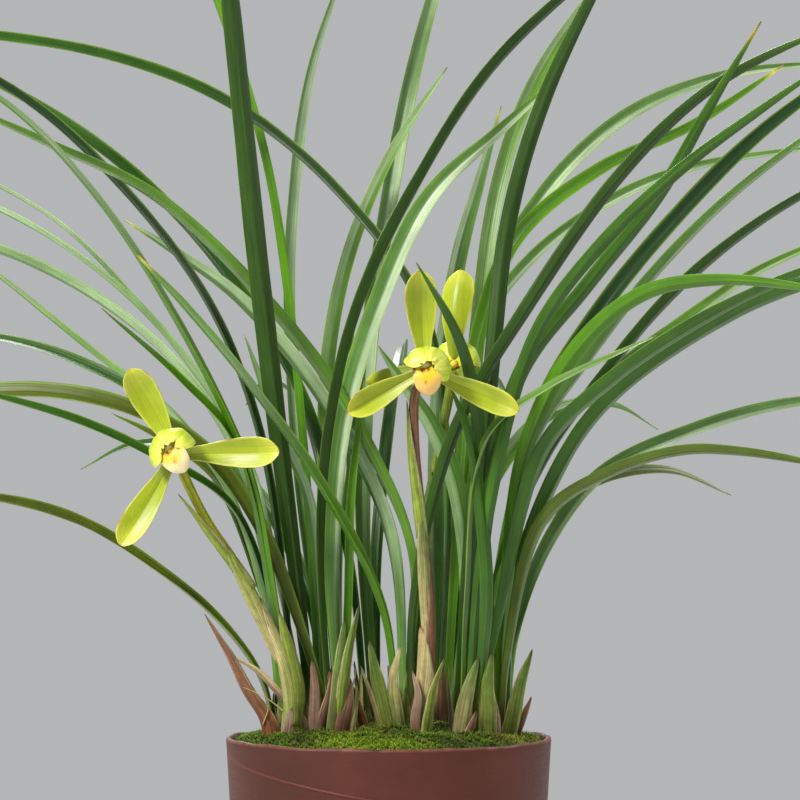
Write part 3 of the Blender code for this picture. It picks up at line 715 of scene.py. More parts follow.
# name, of which the first letter is the shoot: width, twist in degrees, foot on its shoot, tone, tip,
# and the points that it arches through
leafRows = {
    "a_long": (7.5, -50, (1, -3), "bright", "yellow", (
        (-43, -15, 55), (-52, -22, 99), (-72, -34, 143), (-103, -56, 194), (-136, -80, 229),
        (-168, -100, 244))),
    "a_inner": (7, -45, (2, 3), "blue", "", (
        (-39, 2, 50), (-49, 1, 113), (-67, -4, 159), (-98, -12, 201), (-132, -20, 233), (-190, -42, 264))),
    "a_middle": (7, 55, (-2, 1), "satin", "", (
        (-43, -6, 51), (-56, 0, 101), (-77, 6, 134), (-107, 14, 160), (-146, 24, 180), (-190, 36, 190))),
    "a_low": (6.5, -50, (-4, -3), "olive", "", (
        (-48, -8, 23), (-64, -10, 44), (-87, -14, 63), (-112, -22, 79), (-140, -34, 88), (-172, -48, 91))),
    "b_tall": (8.5, 80, (0, -4), "deep", "", (
        (-36, -10, 80), (-46, -16, 165), (-53, -22, 233), (-60, -38, 300), (-70, -56, 372))),
    "b_bright": (7, 60, (1, 0), "bright", "", (
        (-32, 13, 98), (-39, 16, 165), (-47, 12, 214), (-65, 18, 274), (-94, 38, 340))),
    "b_outer": (6.5, 50, (-3, 3), "satin", "", (
        (-40, 10, 50), (-52, 18, 98), (-69, 26, 128), (-94, 40, 158), (-130, 62, 186), (-180, 88, 212))),
    "c_low": (8.5, -55, (-4, 1), "olive", "", (
        (-32, -10, 36), (-49, -8, 78), (-69, -6, 105), (-95, -4, 120), (-130, 0, 127), (-205, 8, 121))),
    "c_arch": (8, -60, (-2, -3), "deep", "", (
        (-24, -11, 66), (-20, -10, 117), (-9, -8, 161), (12, 0, 205), (41, 12, 250), (100, 42, 306))),
    "c_broad": (8.5, 60, (2, 1), "satin", "", (
        (-20, 0, 65), (-16, 5, 117), (-4, 10, 158), (15, 14, 199), (42, 20, 225), (63, 26, 244))),
    "d_left": (7, -45, (-3, 0), "mid", "", (
        (-16, 18, 65), (-33, 23, 124), (-59, 23, 168), (-97, 18, 209), (-146, 30, 242), (-200, 46, 262))),
    "d_right": (7.5, 60, (1, 3), "satin", "", (
        (-10, 20, 79), (-8, 32, 147), (0, 48, 204), (9, 64, 251), (32, 104, 335))),
    "e_back": (7.5, 55, (-1, 4), "satin", "yellow", (
        (-1, 8, 76), (-25, 10, 124), (-55, 4, 161), (-81, -2, 180), (-97, -8, 190))),
    "e_front": (9, -50, (-3, -3), "bright", "yellow", (
        (-3, -11, 47), (-24, -21, 90), (-50, -34, 128), (-73, -44, 157), (-90, -53, 176))),
    "e_right": (6, -60, (3, -1), "deep", "", (
        (10, -8, 51), (24, -12, 110), (48, -18, 153), (84, -27, 205), (119, -40, 238), (165, -60, 260))),
    "f_left": (7.5, -50, (0, 1), "mid", "", (
        (21, 19, 87), (13, 22, 154), (-18, 14, 199), (-58, -4, 232), (-105, -16, 250), (-200, -38, 262))),
    "f_back": (6.5, 60, (3, 5), "pale", "", (
        (28, 31, 72), (34, 42, 154), (42, 54, 208), (58, 70, 250), (104, 106, 314))),
    "f_right": (7, 55, (4, -2), "bright", "yellow", (
        (27, 16, 79), (35, 30, 151), (49, 32, 185), (80, 40, 211), (115, 48, 228), (151, 58, 252))),
    "g_upright": (6.5, -60, (1, 3), "deep", "", (
        (33, -10, 66), (38, -11, 135), (44, -8, 188), (57, -18, 234), (92, -46, 306))),
    "g_steep": (6.5, -55, (4, -1), "mid", "orange", (
        (35, -16, 66), (48, -20, 132), (73, -28, 166), (98, -37, 198), (116, -46, 230), (133, -54, 259))),
    "g_front": (5.5, -60, (1, -4), "mid", "yellow", (
        (35, -26, 74), (53, -34, 146), (76, -46, 179), (103, -64, 205), (134, -84, 228), (156, -99, 243))),
    "g_short": (6, 60, (-3, 0), "mid", "", (
        (31, -16, 80), (33, -25, 116), (31, -32, 129), (26.5, -43, 144), (20, -51, 157), (10, -56, 173))),
    "h_long": (7.5, 55, (0, 4), "blue", "", (
        (44, 14, 65), (58, 18, 122), (81, 25, 159), (110, 36, 194), (141, 51, 225), (190, 76, 262))),
    "h_arch": (6.8, -60, (0, -5), "bright", "", (
        (43, -6, 50), (51, -20, 108), (68, -34, 142), (90, -51, 161), (116, -70, 166), (165, -100, 160))),
    "h_thin": (6, -50, (-2, 1), "deep", "", (
        (41, 6, 58), (58, 4, 101), (78, 0, 130), (105, -6, 163), (136, -13, 189), (186, -26, 218))),
    "h_broad": (8, -50, (4, -2), "mid", "", (
        (47, -2, 51), (60, -8, 91), (78, -13, 120), (114, -21, 148), (149, -30, 165), (215, -54, 176))),
    "h_low": (6.5, 50, (4, 2), "satin", "", (
        (47, 14, 35), (60, 24, 70), (80, 36, 95), (119, 58, 113), (159, 80, 123), (205, 104, 125))),
    "i_left": (8, 60, (-2, 2), "satin", "yellow", (
        (17, 46, 71), (19, 60, 132), (26, 76, 178), (35, 92, 210), (44, 110, 240))),
    "i_right": (6.5, 60, (2, 1), "satin", "", (
        (25, 46, 63), (37, 64, 159), (59, 84, 202), (91, 106, 234), (132, 132, 253), (190, 160, 262))),
    "j_left": (6.5, -40, (-4, 1), "mid", "", (
        (-42, 34, 35), (-62, 42, 87), (-87, 56, 120), (-119, 74, 138), (-152, 90, 148), (-188, 106, 150))),
    "j_upright": (6, 60, (-1, 4), "satin", "", (
        (-33, 38, 79), (-39, 52, 162), (-37, 68, 209), (-31, 92, 253), (-16, 122, 302))),
    "j_right": (6.5, 60, (2, -1), "pale", "", (
        (-23, 34, 79), (-22, 38, 143), (-14, 40, 181), (1, 40, 217), (22, 40, 250))),
}
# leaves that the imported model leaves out, with the shoot before the same terms
extraRows = {
    "slimLeft": ("e", 6.5, 45, (-2, 5), "pale", "", (
        (8, 8, 65), (-7, 6, 104), (-33, 2, 145), (-84, -14, 197), (-124, -32, 217), (-160, -50, 233))),
    "farLeft": ("b", 5.5, 45, (-4, 4), "satin", "", (
        (-47, 22, 64), (-63, 30, 119), (-91, 44, 155), (-126, 60, 191), (-170, 80, 217))),
    "shortLeft": ("a", 6, -50, (-1, -4), "bright", "", (
        (-44, -12, 51), (-56, -24, 108), (-75, -34, 131), (-103, -46, 157))),
    "paleLeft": ("a", 5.5, 50, (-3, 4), "pale", "", (
        (-44, 6, 35), (-59, 10, 87), (-85, 20, 121), (-112, 30, 142), (-148, 44, 171), (-167, 52, 185))),
    "levelLeft": ("a", 5.5, -50, (0, 3), "mid", "", (
        (-42, 2, 36), (-58, -2, 84), (-88, -8, 104), (-113, -14, 116), (-141, -24, 125), (-162, -32, 130))),
    "lowLeft": ("j", 5, -45, (-5, -3), "olive", "", (
        (-46, 26, 49), (-65, 30, 94), (-87, 34, 110), (-105, 38, 119))),
    "highRight": ("i", 5.5, 55, (-1, -4), "satin", "", (
        (25, 34, 64), (35, 44, 149), (54, 50, 177), (85, 58, 200), (116, 66, 213), (179, 84, 224))),
    "slimRight": ("h", 6, -50, (-3, 1), "satin", "", (
        (40, 6, 50), (54, 4, 108), (74, 0, 139), (96, -6, 168), (125, -14, 198), (167, -28, 231))),
    "farRight": ("h", 6, 50, (1, 5), "pale", "", (
        (43, 18, 50), (59, 24, 106), (87, 32, 135), (114, 40, 155), (139, 48, 172), (180, 60, 191))),
    "frontRight": ("g", 7, -50, (4, -2), "mid", "", (
        (41, -14, 44), (57, -24, 106), (80, -34, 130), (112, -46, 152), (146, -60, 169), (170, -70, 177))),
    "bentRight": ("g", 5.5, 50, (-1, -5), "pale", "", (
        (29, -20, 51), (36, -30, 110), (57, -38, 128), (83, -46, 141), (96, -52, 147))),
    "levelRight": ("h", 6, -55, (2, -6), "olive", "", (
        (44, -10, 29), (57, -14, 80), (81, -20, 97), (106, -28, 105), (127, -36, 105), (165, -50, 99))),
    "innerRight": ("g", 5.5, 60, (3, -5), "mid", "", (
        (36, -26, 52), (33, -28, 92), (29, -30, 113), (22, -32, 130))),
    "innerLeft": ("b", 4.5, 50, (3, -2), "satin", "", (
        (-26, 4, 51), (-30, 0, 88), (-40, -4, 112), (-53, -8, 148))),
    "youngBack": ("j", 3.5, 60, (3, -2), "pale", "yellow", ((-15, 30, 94), (-15, 36, 132), (-13, 40, 158))),
    "youngMiddle": ("c", 3.5, 60, (1, 5), "bright", "yellow", ((-15, -2, 50), (-14, -4, 88), (-9, 6, 132))),
    "midCross": ("f", 7.5, 50, (4, -4), "satin", "", (
        (29, 8, 50), (25, 2, 91), (16, -2, 114), (2, -6, 135), (-4, -8, 144))),
    "thinBack": ("j", 4, -35, (2, 3), "mid", "", (
        (-17, 44, 79), (-11, 50, 113), (-1, 56, 131), (8, 60, 141))),
    "rearOne": ("i", 7, -50, (1, 4), "mid", "", (
        (24, 52, 52), (28, 74, 96), (34, 102, 124), (42, 132, 132), (48, 152, 126))),
    "rearTwo": ("j", 7, 50, (0, 4), "deep", "", (
        (-22, 46, 56), (-28, 68, 100), (-38, 98, 126), (-50, 130, 130), (-58, 150, 122))),
    "rearThree": ("d", 6.5, -45, (2, 4), "mid", "", (
        (-4, 28, 60), (0, 48, 108), (4, 78, 138), (6, 112, 146), (6, 146, 134))),
    "rearFour": ("f", 6.5, 50, (0, 5), "bright", "", (
        (24, 34, 54), (40, 58, 94), (62, 88, 118), (88, 118, 122), (108, 140, 112))),
    "rearFive": ("j", 6.5, -50, (-3, 3), "mid", "", (
        (-30, 42, 48), (-48, 64, 84), (-74, 92, 104), (-102, 118, 106), (-124, 138, 96))),
    "rearSix": ("i", 6, 50, (3, -1), "olive", "", (
        (34, 44, 40), (54, 62, 72), (80, 86, 92), (110, 108, 96), (136, 126, 86))),
}


def leafTints(shares, length, tone, tip, seed):
    wander = drift(seed, shares * length / 40)
    fine = drift(seed + 50, shares * length / 7)
    colour = leaf["tones"][tone][None] * (1 + 0.34 * wander + 0.12 * fine)[:, None]
    colour = mixed(colour, leaf["foot"], 0.55 * np.clip(1 - shares * length / leaf["footReach"], 0, 1))
    colour = mixed(colour, leaf["tones"]["lime"], 0.35 * np.clip((shares - 0.86) / 0.14, 0, 1))
    left = (1 - shares) * length
    if tip:
        colour = mixed(colour, leaf["yellowTip"], np.clip(1.2 - left / leaf["yellowReach"], 0, 1))
    if tip == "orange":
        colour = mixed(colour, leaf["orangeTip"], np.clip(1.2 - left / leaf["orangeReach"], 0, 1))
    colour = mixed(colour, leaf["deadTip"], np.clip(1.1 - left / leaf["deadReach"], 0, 1))
    u = leafColumns
    across = np.repeat(colour[:, None], len(u), axis=1)
    # one half of each blade is painted slightly lighter than the other: painted light on the fold's two
    # faces
    across = across * (1 + 0.07 * np.sign(u) * cos(seed * 2.1))[None, :, None]
    # painted highlight: one half of the blade is painted whitish in long soft runs
    if tone in leaf["paintedHighlightShare"]:  # one half catches the light in long soft runs
        bright = np.clip(0.75 + 0.9 * drift(seed + 90, shares * length / leaf["paintedHighlightRun"]), 0, 1)
        bright = bright * np.clip(shares * 4 - 0.4, 0, 1)
        half = np.clip(u * (1 if sin(seed * 3.3) > 0 else -1) * 4 + 0.5, 0, 1)
        across = mixed(across, leaf["paintedHighlight"], leaf["paintedHighlightShare"][tone] * bright[:, None] * half[None])
    top = mixed(across, leaf["edge"], np.broadcast_to(0.4 * (np.abs(u) > 0.93), across.shape[:2]))
    # the crease along the midrib is painted darker on top: painted shade in the fold
    top = top * np.where(u == 0, 0.78, 1.0)[None, :, None]
    low = mixed(across * 1.12, leaf["tones"]["pale"], np.full(across.shape[:2], 0.22))
    return top, low * np.where(u == 0, 1.15, 1.0)[None, :, None]


def leafParts(row, seed):
    shoot, width, twist, foot, tone, tip, points = row
    x, y = shoots[shoot]
    start = (x + foot[0], y + foot[1], leaf["startAboveRim"])
    path, length = smoothPath([start, *points], leaf["stations"])
    path[:, 2] += rimHeight
    shares = np.linspace(0, 1, len(path))
    heading = path[-1] - path[0]
    side = unit(np.array([-heading[1], heading[0], 0.0]))
    turn = radians(twist) * (0.55 + 0.45 * shares) + 0.16 * drift(seed, shares * length / 60)
    right, face = bladeFrame(path, side, turn)
    half = eased(leafShape, shares) * width / 2
    fold = leaf["foldLow"] + (leaf["foldHigh"] - leaf["foldLow"]) * shares
    u = leafColumns
    lift = np.abs(u)[None] ** 1.3 * (fold * half)[:, None]
    ripple = 0.22 * drift(seed + 9, shares * length / 13)[:, None] * u[None] ** 3 * half[:, None] / 3.5
    grid = path[:, None] + u[None, :, None] * half[:, None, None] * right[:, None]
    grid = grid + (lift + ripple)[..., None] * face[:, None]
    narrow = np.clip(half / (width * 0.3), 0.3, 1)[:, None]
    thick = leaf["thick"] * (1 - 0.55 * u**2)[None] * narrow
    keel = leaf["keel"] * np.exp(-((u / 0.12) ** 2))[None] * narrow * (1.2 - shares)[:, None]
    top, low = leafTints(shares, length, tone, tip, seed)
    uv = np.stack(np.broadcast_arrays(u[None] * half[:, None], (shares * length)[:, None]), -1)
    return sheetParts(grid, thick, top, uv, keel, low)


leafBlade = bladeMaterial("leafBlade", {
    "veinsPerMm": 1.1, "veinWander": 0.25, "streakDepth": (0.84, 1.2), "veinDepth": (0.93, 1.07),
    "mottleScale": 0.09, "mottleDepth": (0.88, 1.12), "roughness": (0.3, 0.44), "bump": 0.22,
    "specular": 0.36, "sheen": 0.0, "glow": 0.12, "glowRadius": (0.4, 0.8, 0.1),
})


def makeLeaves():
    for seed, (name, row) in enumerate(leafRows.items()):
        makePiece("fine_leaf_" + name, leafParts((name[0], *row), seed), leafBlade, "leaf", "leaf_" + name)
    for seed, (name, row) in enumerate(extraRows.items()):
        makePiece(pieceName("leaf", name), leafParts(row, seed + 60), leafBlade, "leaf")
    print("leaves made:", len(leafRows) + len(extraRows))


makeLeaves()


# sheaths: papery scales round the foot of each shoot and up the flower stems
sheath = {
    "thick": 0.3,
    "stations": 26,
    "columns": 13,
    "narrow": 0.8,
    "flat": 1.5,
    "scales": 6,  # smaller ones round each shoot
    "scaleWidth": (4.2, 5.8),
    "scaleWrap": (65, 100),
    "scaleHeight": (8, 28),
    "green": linear(84, 120, 40),
    "lime": linear(136, 158, 52),
    "fresh": linear(64, 98, 30),
    "straw": linear(198, 184, 124),
    "rosy": linear(138, 102, 80),
    "pink": linear(180, 152, 128),
    "dry": linear(144, 84, 38),
    "umber": linear(98, 64, 44),
    "paper": linear(214, 196, 150),
}
# name: tone at the foot, tone at the tip, width, how far it wraps in degrees, way it faces in degrees
# (180 to the front, 90 right, 270 left), and the points of its middle line
sheathRows = {
    "dryLong": ("dry", "rosy", 5.2, 120, 215, (
        (-43, -10, -1), (-45, -11, 8), (-51, -14, 18), (-57, -18, 31), (-66, -24, 47))),
    "dryStrip": ("pink", "straw", 3.4, 80, 200, (
        (-37, -15, 14), (-42, -17, 20), (-48, -18, 26), (-57, -19, 31))),
    "dryShort": ("umber", "dry", 3.6, 120, 220, (
        (-40, -10, 0), (-42, -12, 7), (-46, -13, 15))),
    "greenBroad": ("lime", "lime", 6.0, 130, 170, (
        (-36, -14, -2), (-35, -16, 8), (-34, -17, 18), (-36, -18, 30), (-40, -20, 47))),
    "greenWedge": ("rosy", "pink", 4.4, 90, 195, (
        (-37, -16, -1), (-36, -18, 6), (-35, -19, 12))),
    "rosyLow": ("pink", "rosy", 3.8, 110, 190, (
        (-30, -11, -1), (-31, -13, 5), (-33, -14, 12))),
    "rosyTall": ("pink", "rosy", 4.6, 120, 180, (
        (-27, -12, -1), (-27, -14, 8), (-27, -14, 19), (-28, -14, 29))),
    "brownThin": ("umber", "rosy", 3.2, 110, 170, (
        (-25, -13, 0), (-24, -15, 8), (-22, -15, 16), (-21, -15, 25))),
    "leafyMiddle": ("green", "green", 5.0, 120, 185, (
        (-20, -17, 0), (-19, -20, 10), (-18, -22, 22), (-17, -23, 34), (-16, -24, 44))),
    "leafyTall": ("lime", "green", 4.4, 110, 160, (
        (-18, -18, 2), (-17, -22, 16), (-15, -24, 32), (-11, -26, 50))),
    "plumStub": ("umber", "rosy", 5.4, 130, 180, (
        (-17, -18, -1), (-17, -20, 6), (-15, -21, 14), (-14, -21, 23))),
    "paleStub": ("paper", "lime", 2.6, 90, 150, (
        (-14, -18, -1), (-13, -20, 7), (-12, -20, 15), (-12, -20, 22))),
    "rustThin": ("dry", "umber", 3.0, 110, 190, (
        (-8, -14, 2), (-10, -16, 9), (-13, -17, 20))),
    "paleEdge": ("pink", "straw", 3.0, 80, 200, (
        (-2, -12, 1), (-4, -14, 10), (-7, -15, 19), (-10, -15, 27))),
    "leafyFoot": ("lime", "green", 5.4, 120, 185, (
        (1, -12, -1), (-1, -14, 9), (-4, -15, 22), (-7, -15, 36))),
    "greyTall": ("green", "straw", 4.4, 120, 200, (
        (4, -13, 0), (3, -15, 10), (2, -15, 22), (5, -14, 34))),
    "yellowFork": ("lime", "lime", 3.6, 100, 150, (
        (13, -24, 0), (14, -26, 9), (16, -27, 20), (20, -28, 31))),
    "rosyFork": ("rosy", "pink", 3.6, 110, 200, (
        (11, -23, 0), (10, -25, 8), (11, -26, 17), (9, -26, 26))),
    "rightBroad": ("straw", "green", 5.4, 130, 190, (
        (26, -17, -2), (27, -19, 8), (29, -20, 18), (33, -20, 30))),
    "rightRosy": ("rosy", "rosy", 3.4, 110, 165, (
        (28, -18, -1), (30, -20, 5), (32, -20, 11))),
    "rightPale": ("lime", "green", 6.2, 130, 185, (
        (36, -14, -2), (36, -17, 8), (36, -18, 20), (38, -19, 32))),
    "rightPink": ("pink", "rosy", 3.4, 110, 150, (
        (39, -13, -1), (39, -16, 7), (38, -17, 17))),
    "rightEnd": ("lime", "green", 5.4, 130, 150, (
        (44, -4, -1), (46, -6, 9), (48, -7, 20), (52, -9, 33))),
    "rightUmber": ("umber", "rosy", 3.8, 120, 140, (
        (46, 0, -1), (49, -1, 7), (52, -2, 15))),
}


def wrapParts(points, width, wrap, facing, foot, tip, seed, ragged=0.1, flare=0.0, taper=0.3, flat=1.0):
    # a scale that wraps round its middle line and narrows to a point
    path, length = smoothPath(points, sheath["stations"])
    path[:, 2] += rimHeight
    t = np.linspace(0, 1, len(path))
    right, face = bladeFrame(path, sideways, np.zeros(len(path)))
    radius = width / 2 * (1 - taper * t + 0.18 * np.sin(pi * t))
    uneven = 1 + ragged * drift(seed, t * length / 6)
    half = radians(wrap) / flat * (1 - t) ** 0.55 * uneven + 0.04
    u = np.linspace(-1, 1, sheath["columns"])
    angle = radians(facing) + u[None] * half[:, None]
    pucker = 1 + 0.05 * np.cos(u * 17 + seed)[None] * np.ones(len(t))[:, None]
    keel = 1 + 0.1 * (flat - 1) * (1 - np.abs(u))[None]
    reach = (radius[:, None] * flat * pucker * keel)[..., None]
    turned = np.cos(angle)[..., None] * face[:, None] + np.sin(angle)[..., None] * right[:, None]
    grid = path[:, None] + reach * turned
    middle = cos(radians(facing)) * face + sin(radians(facing)) * right
    grid = grid + (flare * t**3 - (flat - 1) * radius)[:, None, None] * middle[:, None]
    thick = sheath["thick"] * (1 - 0.6 * np.abs(u))[None] * np.clip(1.3 - t, 0.3, 1)[:, None]
    tint = np.empty((len(t), len(u), 3))
    for i, a in enumerate(t):
        for k, b in enumerate(u):
            colour = mixed(sheath[foot], sheath[tip], a * 1.1)
            stripe = 0.5 + 1.3 * blotch(b * 4 + seed * 3.1, a * 1.3, 1.0)
            colour = mixed(colour, sheath["rosy"] * 0.7, 0.42 * stripe * (1.3 - a))
            colour = mixed(colour, sheath["paper"], 0.8 * max(0.0, abs(b) - 0.74) / 0.26)
            colour = mixed(colour, sheath["umber"], max(0.0, a * length - length + 2.5) / 2.5)
            tint[i, k] = colour * (0.92 + 0.3 * blotch(b * 9, a * length / 5, seed * 1.7))
    uv = np.stack(np.broadcast_arrays(u[None] * (half * radius)[:, None], (t * length)[:, None]), -1)
    # the inner face of the wrap is painted darker than the outer: painted shade inside the wrap
    return sheetParts(grid, thick, tint, uv, 0.0, tint * 0.8)


sheathPaper = bladeMaterial("sheathPaper", {
    "veinsPerMm": 1.3, "veinWander": 0.4, "streakDepth": (0.62, 1.34), "veinDepth": (0.82, 1.12),
    "mottleScale": 0.4, "mottleDepth": (0.8, 1.18), "roughness": (0.45, 0.7), "bump": 0.4,
    "specular": 0.3, "sheen": 0.05, "glow": 0.15, "glowRadius": (0.8, 0.7, 0.3),
})


def makeSheaths():
    for seed, (name, row) in enumerate(sheathRows.items()):
        foot, tip, width, wrap, facing, points = row
        width = width * sheath["narrow"]
        parts = wrapParts(points, width, wrap, facing, foot, tip, seed, flat=sheath["flat"])
        makePiece(pieceName("sheath", name), parts, sheathPaper, "leaf")
    # smaller scales all round each shoot
    pick = random.Random(17)
    tones = ("green", "fresh", "lime", "rosy", "straw", "umber", "green", "pink")
    for number, (key, (x, y)) in enumerate(shoots.items()):
        parts = []
        for k in range(sheath["scales"]):
            turn = 360 / sheath["scales"] * k + pick.uniform(-22, 22)
            out = np.array([sin(radians(turn)), cos(radians(turn))])
            tall = pick.uniform(*sheath["scaleHeight"])
            reach = pick.uniform(1.2, 2.6)
            lean = pick.uniform(0.02, 0.14)
            points = [(x + out[0] * (reach + lean * h), y + out[1] * (reach + lean * h), h)
                      for h in (-2.5, tall * 0.3, tall * 0.65, tall)]
            row = (pick.uniform(*sheath["scaleWidth"]), pick.uniform(*sheath["scaleWrap"]), turn,
                   pick.choice(tones), pick.choice(tones))
            parts.append(wrapParts(points, *row, number * 10 + k, ragged=0.25, flat=1.6))
        makePiece("scales_" + key, joinParts(parts), sheathPaper, "leaf")
    # dry threads that the oldest sheaths leave
    for number, points in enumerate((
            ((-38, -17, 10), (-43, -17, 14), (-48, -18, 17), (-53, -17, 19)),
            ((-46, -13, 5), (-44, -15, 12), (-47, -16, 20)),
            ((-13, -21, 20), (-12, -22, 25), (-13, -23, 28)))):
        path, _ = smoothPath(points, 20)
        path[:, 2] += rimHeight
        radii = np.linspace(0.28, 0.08, 20)
        parts = tubeParts(path, radii, 6, lambda a, b: sheath["straw"])
        makePiece(f"dryThread{number}", parts, sheathPaper, "leaf")
    print("sheaths made")


makeSheaths()


# flower stems: ribbed, tapering, with wrapped scales
scape = {
    "radius": 1.9,
    "taper": ((0, 1.0), (0.3, 1.05), (0.85, 0.85), (0.94, 0.95), (1, 0.75)),
    "ribs": 8,
    "ribDepth": 0.035,
    "stations": 72,
    "sides": 32,
    "footBelowRim": 6.4,
    "lime": linear(164, 168, 40),
    "straw": linear(190, 182, 92),
    "rosy": linear(134, 94, 68),
    "green": linear(116, 132, 36),
}
# foot, then the points up to the flower, and tones from the foot up
scapeRows = {
    "scape_left": ((-35, -17), (
        (-36, -17, 21), (-42, -18, 36), (-55, -21, 63), (-66, -24, 80), (-74, -26, 96), (-76.5, -29, 103)),
        ("straw", "straw", "lime", "lime", "lime", "lime")),
    "scape_centre": ((12, -21), (
        (14, -22, 21), (14, -24, 50), (12, -29, 80), (9.5, -34, 109), (9.5, -37, 125),
        (11.8, -38.8, 132.5)),
        ("straw", "rosy", "green", "rosy", "rosy", "rosy")),
    "scape_back": ((8, 10), (
        (9, 10, 30), (13, 9, 70), (19, 7, 108), (22.4, 5, 126), (23.4, 4.4, 134.5)),
        ("green", "green", "green", "green", "green")),
}
# stem, tones at foot and tip, width, wrap, way it faces, flare at the tip, and points of its middle line
bractRows = (
    ("scape_left", "lime", "lime", 4.5, 140, 240, 2.6, (
        (-50, -20, 55), (-57, -21, 66), (-65, -24, 78), (-73, -26, 92))),
    ("scape_left", "straw", "lime", 5.0, 160, 150, 0.4, (
        (-39, -18, 29), (-45, -19, 42), (-51, -20, 54), (-60, -22, 71))),
    ("scape_left", "lime", "straw", 5.8, 160, 110, 0.5, (
        (-35, -17, 5), (-36, -17, 18), (-39, -18, 30), (-45, -19, 43), (-49, -20, 51))),
    ("scape_centre", "lime", "lime", 4.6, 130, 250, 0.7, (
        (12.5, -28, 74), (11, -31, 90), (9.5, -34, 106), (9, -36, 124))),
    ("scape_centre", "straw", "green", 4.0, 165, 140, 0.3, (
        (14, -24, 40), (13, -26, 58), (12, -29, 76), (11, -31, 92))),
    ("scape_centre", "dry", "rosy", 5.4, 168, 90, 0.2, (
        (13.6, -22, 12), (14, -22.6, 30), (14, -24, 48), (12.8, -26.5, 70))),
    ("scape_centre", "straw", "straw", 6.8, 168, 235, 0.2, (
        (12, -21, 0), (13, -22, 14), (14, -22.4, 28), (14, -23.4, 42))),
    ("scape_back", "green", "green", 5.2, 165, 150, 0.8, (
        (9, 10, 8), (9, 10, 22), (10, 10, 38), (12, 9, 56))),
    ("scape_back", "green", "green", 4.8, 160, 240, 1.0, (
        (11, 9, 48), (13, 9, 66), (15, 8, 82), (18, 7, 98))),
)


def makeScapes():
    for seed, (node, (foot, points, tones)) in enumerate(scapeRows.items()):
        path, _ = smoothPath([(*foot, -scape["footBelowRim"]), *points], scape["stations"])
        path[:, 2] += rimHeight
        shares = np.linspace(0, 1, len(path))
        radii = eased(scape["taper"], shares) * scape["radius"]
        colours = np.array([scape[tone] for tone in tones])

        def tintAt(along, around):
            spot = along * (len(colours) - 1)
            colour = np.array([np.interp(spot, range(len(colours)), colours[:, c]) for c in range(3)])
            streak = blotch(cos(around * 2 * pi) * 2.5, along * 3, seed + 0.5)
            return colour * (1 + 0.3 * streak)

        parts = tubeParts(path, radii, scape["sides"], tintAt, scape["ribs"], scape["ribDepth"])
        makePiece("fine_" + node, parts, sheathPaper, "scape", node)
        bracts = [wrapParts(row[7], row[3], row[4], row[5], row[1], row[2], 200 + k, 0.06, row[6], 0.22)
                  for k, row in enumerate(bractRows) if row[0] == node]
        makePiece("bracts_" + node, joinParts(bracts), sheathPaper, "scape")
    print("flower stems made")


makeScapes()


# flowers: three long sepals, two short petals that hood the column, and a curled lip
flower = {
    "sepalLength": 37.0,
    "sepalWidth": 11.5,
    "lipLength": 13.0,
    "lipWidth": 10.0,
    "columnLength": 9.0,
    "columnRadius": 1.6,
    "sepalThick": 0.8,
    "petalThick": 0.6,
    "sepalFoot": linear(160, 178, 46),
    "sepalMid": linear(166, 182, 18),
    "sepalTip": linear(214, 214, 70),
    "sepalEdge": linear(226, 222, 112),
    # darker green for the sepals: partly their own green towards the foot, partly painted shade
    "sepalGreenAndShade": linear(116, 136, 12),
    "rust": linear(168, 88, 30),
    "petalFoot": linear(236, 226, 70),
    "petal": linear(186, 208, 36),
    "petalEdge": linear(240, 236, 110),
    "lip": linear(250, 230, 182),
    "lipPeach": linear(250, 200, 118),
    "throat": linear(244, 202, 44),
    "mark": linear(104, 30, 14),
    "column": linear(250, 220, 70),
    "anther": linear(246, 232, 160),
}
sepalShape = (
    (0, 0.36), (0.2, 0.52), (0.42, 0.82), (0.62, 0.98), (0.78, 1.0), (0.89, 0.86), (0.96, 0.6), (1, 0.1))
lipShape = (
    (0, 0.36), (0.2, 0.7), (0.38, 0.86), (0.52, 0.98), (0.7, 1.0), (0.86, 0.86), (0.95, 0.6), (1, 0.2))
columnShape = ((0, 0.9), (0.4, 0.82), (0.7, 1.0), (0.88, 1.3), (0.96, 1.1), (1, 0.35))
# share of a petal's length, distance from the column's axis and forwards in millimetres, half its sweep
# in degrees
petalShell = ((0, 1.8, 0.8, 60), (0.16, 4.8, 1.2, 48), (0.34, 7.6, 2.4, 46), (0.5, 9.0, 4.6, 48),
              (0.64, 8.9, 7.2, 53), (0.77, 7.6, 9.4, 58), (0.88, 5.7, 11.0, 60), (0.96, 4.1, 11.9, 52),
              (1.0, 3.2, 12.2, 22))
# centre, way it faces, way its top sepal points, and lip tone; then for each sepal its angle from the top,
# length and width as shares, fold, and how much darker green it is painted, partly its own green and partly
# painted shade; then the right and left petals' angles, and the lip's
flowerRows = {
    "flower_left": (
        (-77, -31, 104.5), (-0.12, -1.0, 0.06), (-0.47, 0, 0.88), "lip",
        {"dorsal_sepal": (0, 0.93, 1.0, 0.3, 0.05), "lateral_sepal_right": (117, 1.04, 0.98, 0.42, 0.5),
         "lateral_sepal_left": (-122, 1.04, 0.92, 0.36, 0.6)}, (46, -50), 168),
    "flower_centre": (
        (13, -41, 135), (0.05, -1.0, -0.05), (-0.05, -0.12, 1.0), "lipPeach",
        {"dorsal_sepal": (0, 0.97, 1.02, 0.42, 0.1), "lateral_sepal_right": (117, 1.0, 0.8, 0.45, 0.5),
         "lateral_sepal_left": (-116, 0.86, 0.84, 0.7, 0.1)}, (68, -14), 176),
    "flower_back": (
        (24, 6, 137), (0.3, 0.95, 0.05), (0, -0.15, 1.0), "lip",
        {"dorsal_sepal": (0, 0.95, 1.05, 0.35, 0.4), "lateral_sepal_right": (103, 0.97, 0.62, 0.5, 0.6),
         "lateral_sepal_left": (-146, 0.85, 0.9, 0.35, 0.8)}, (45, -45), 180),
}
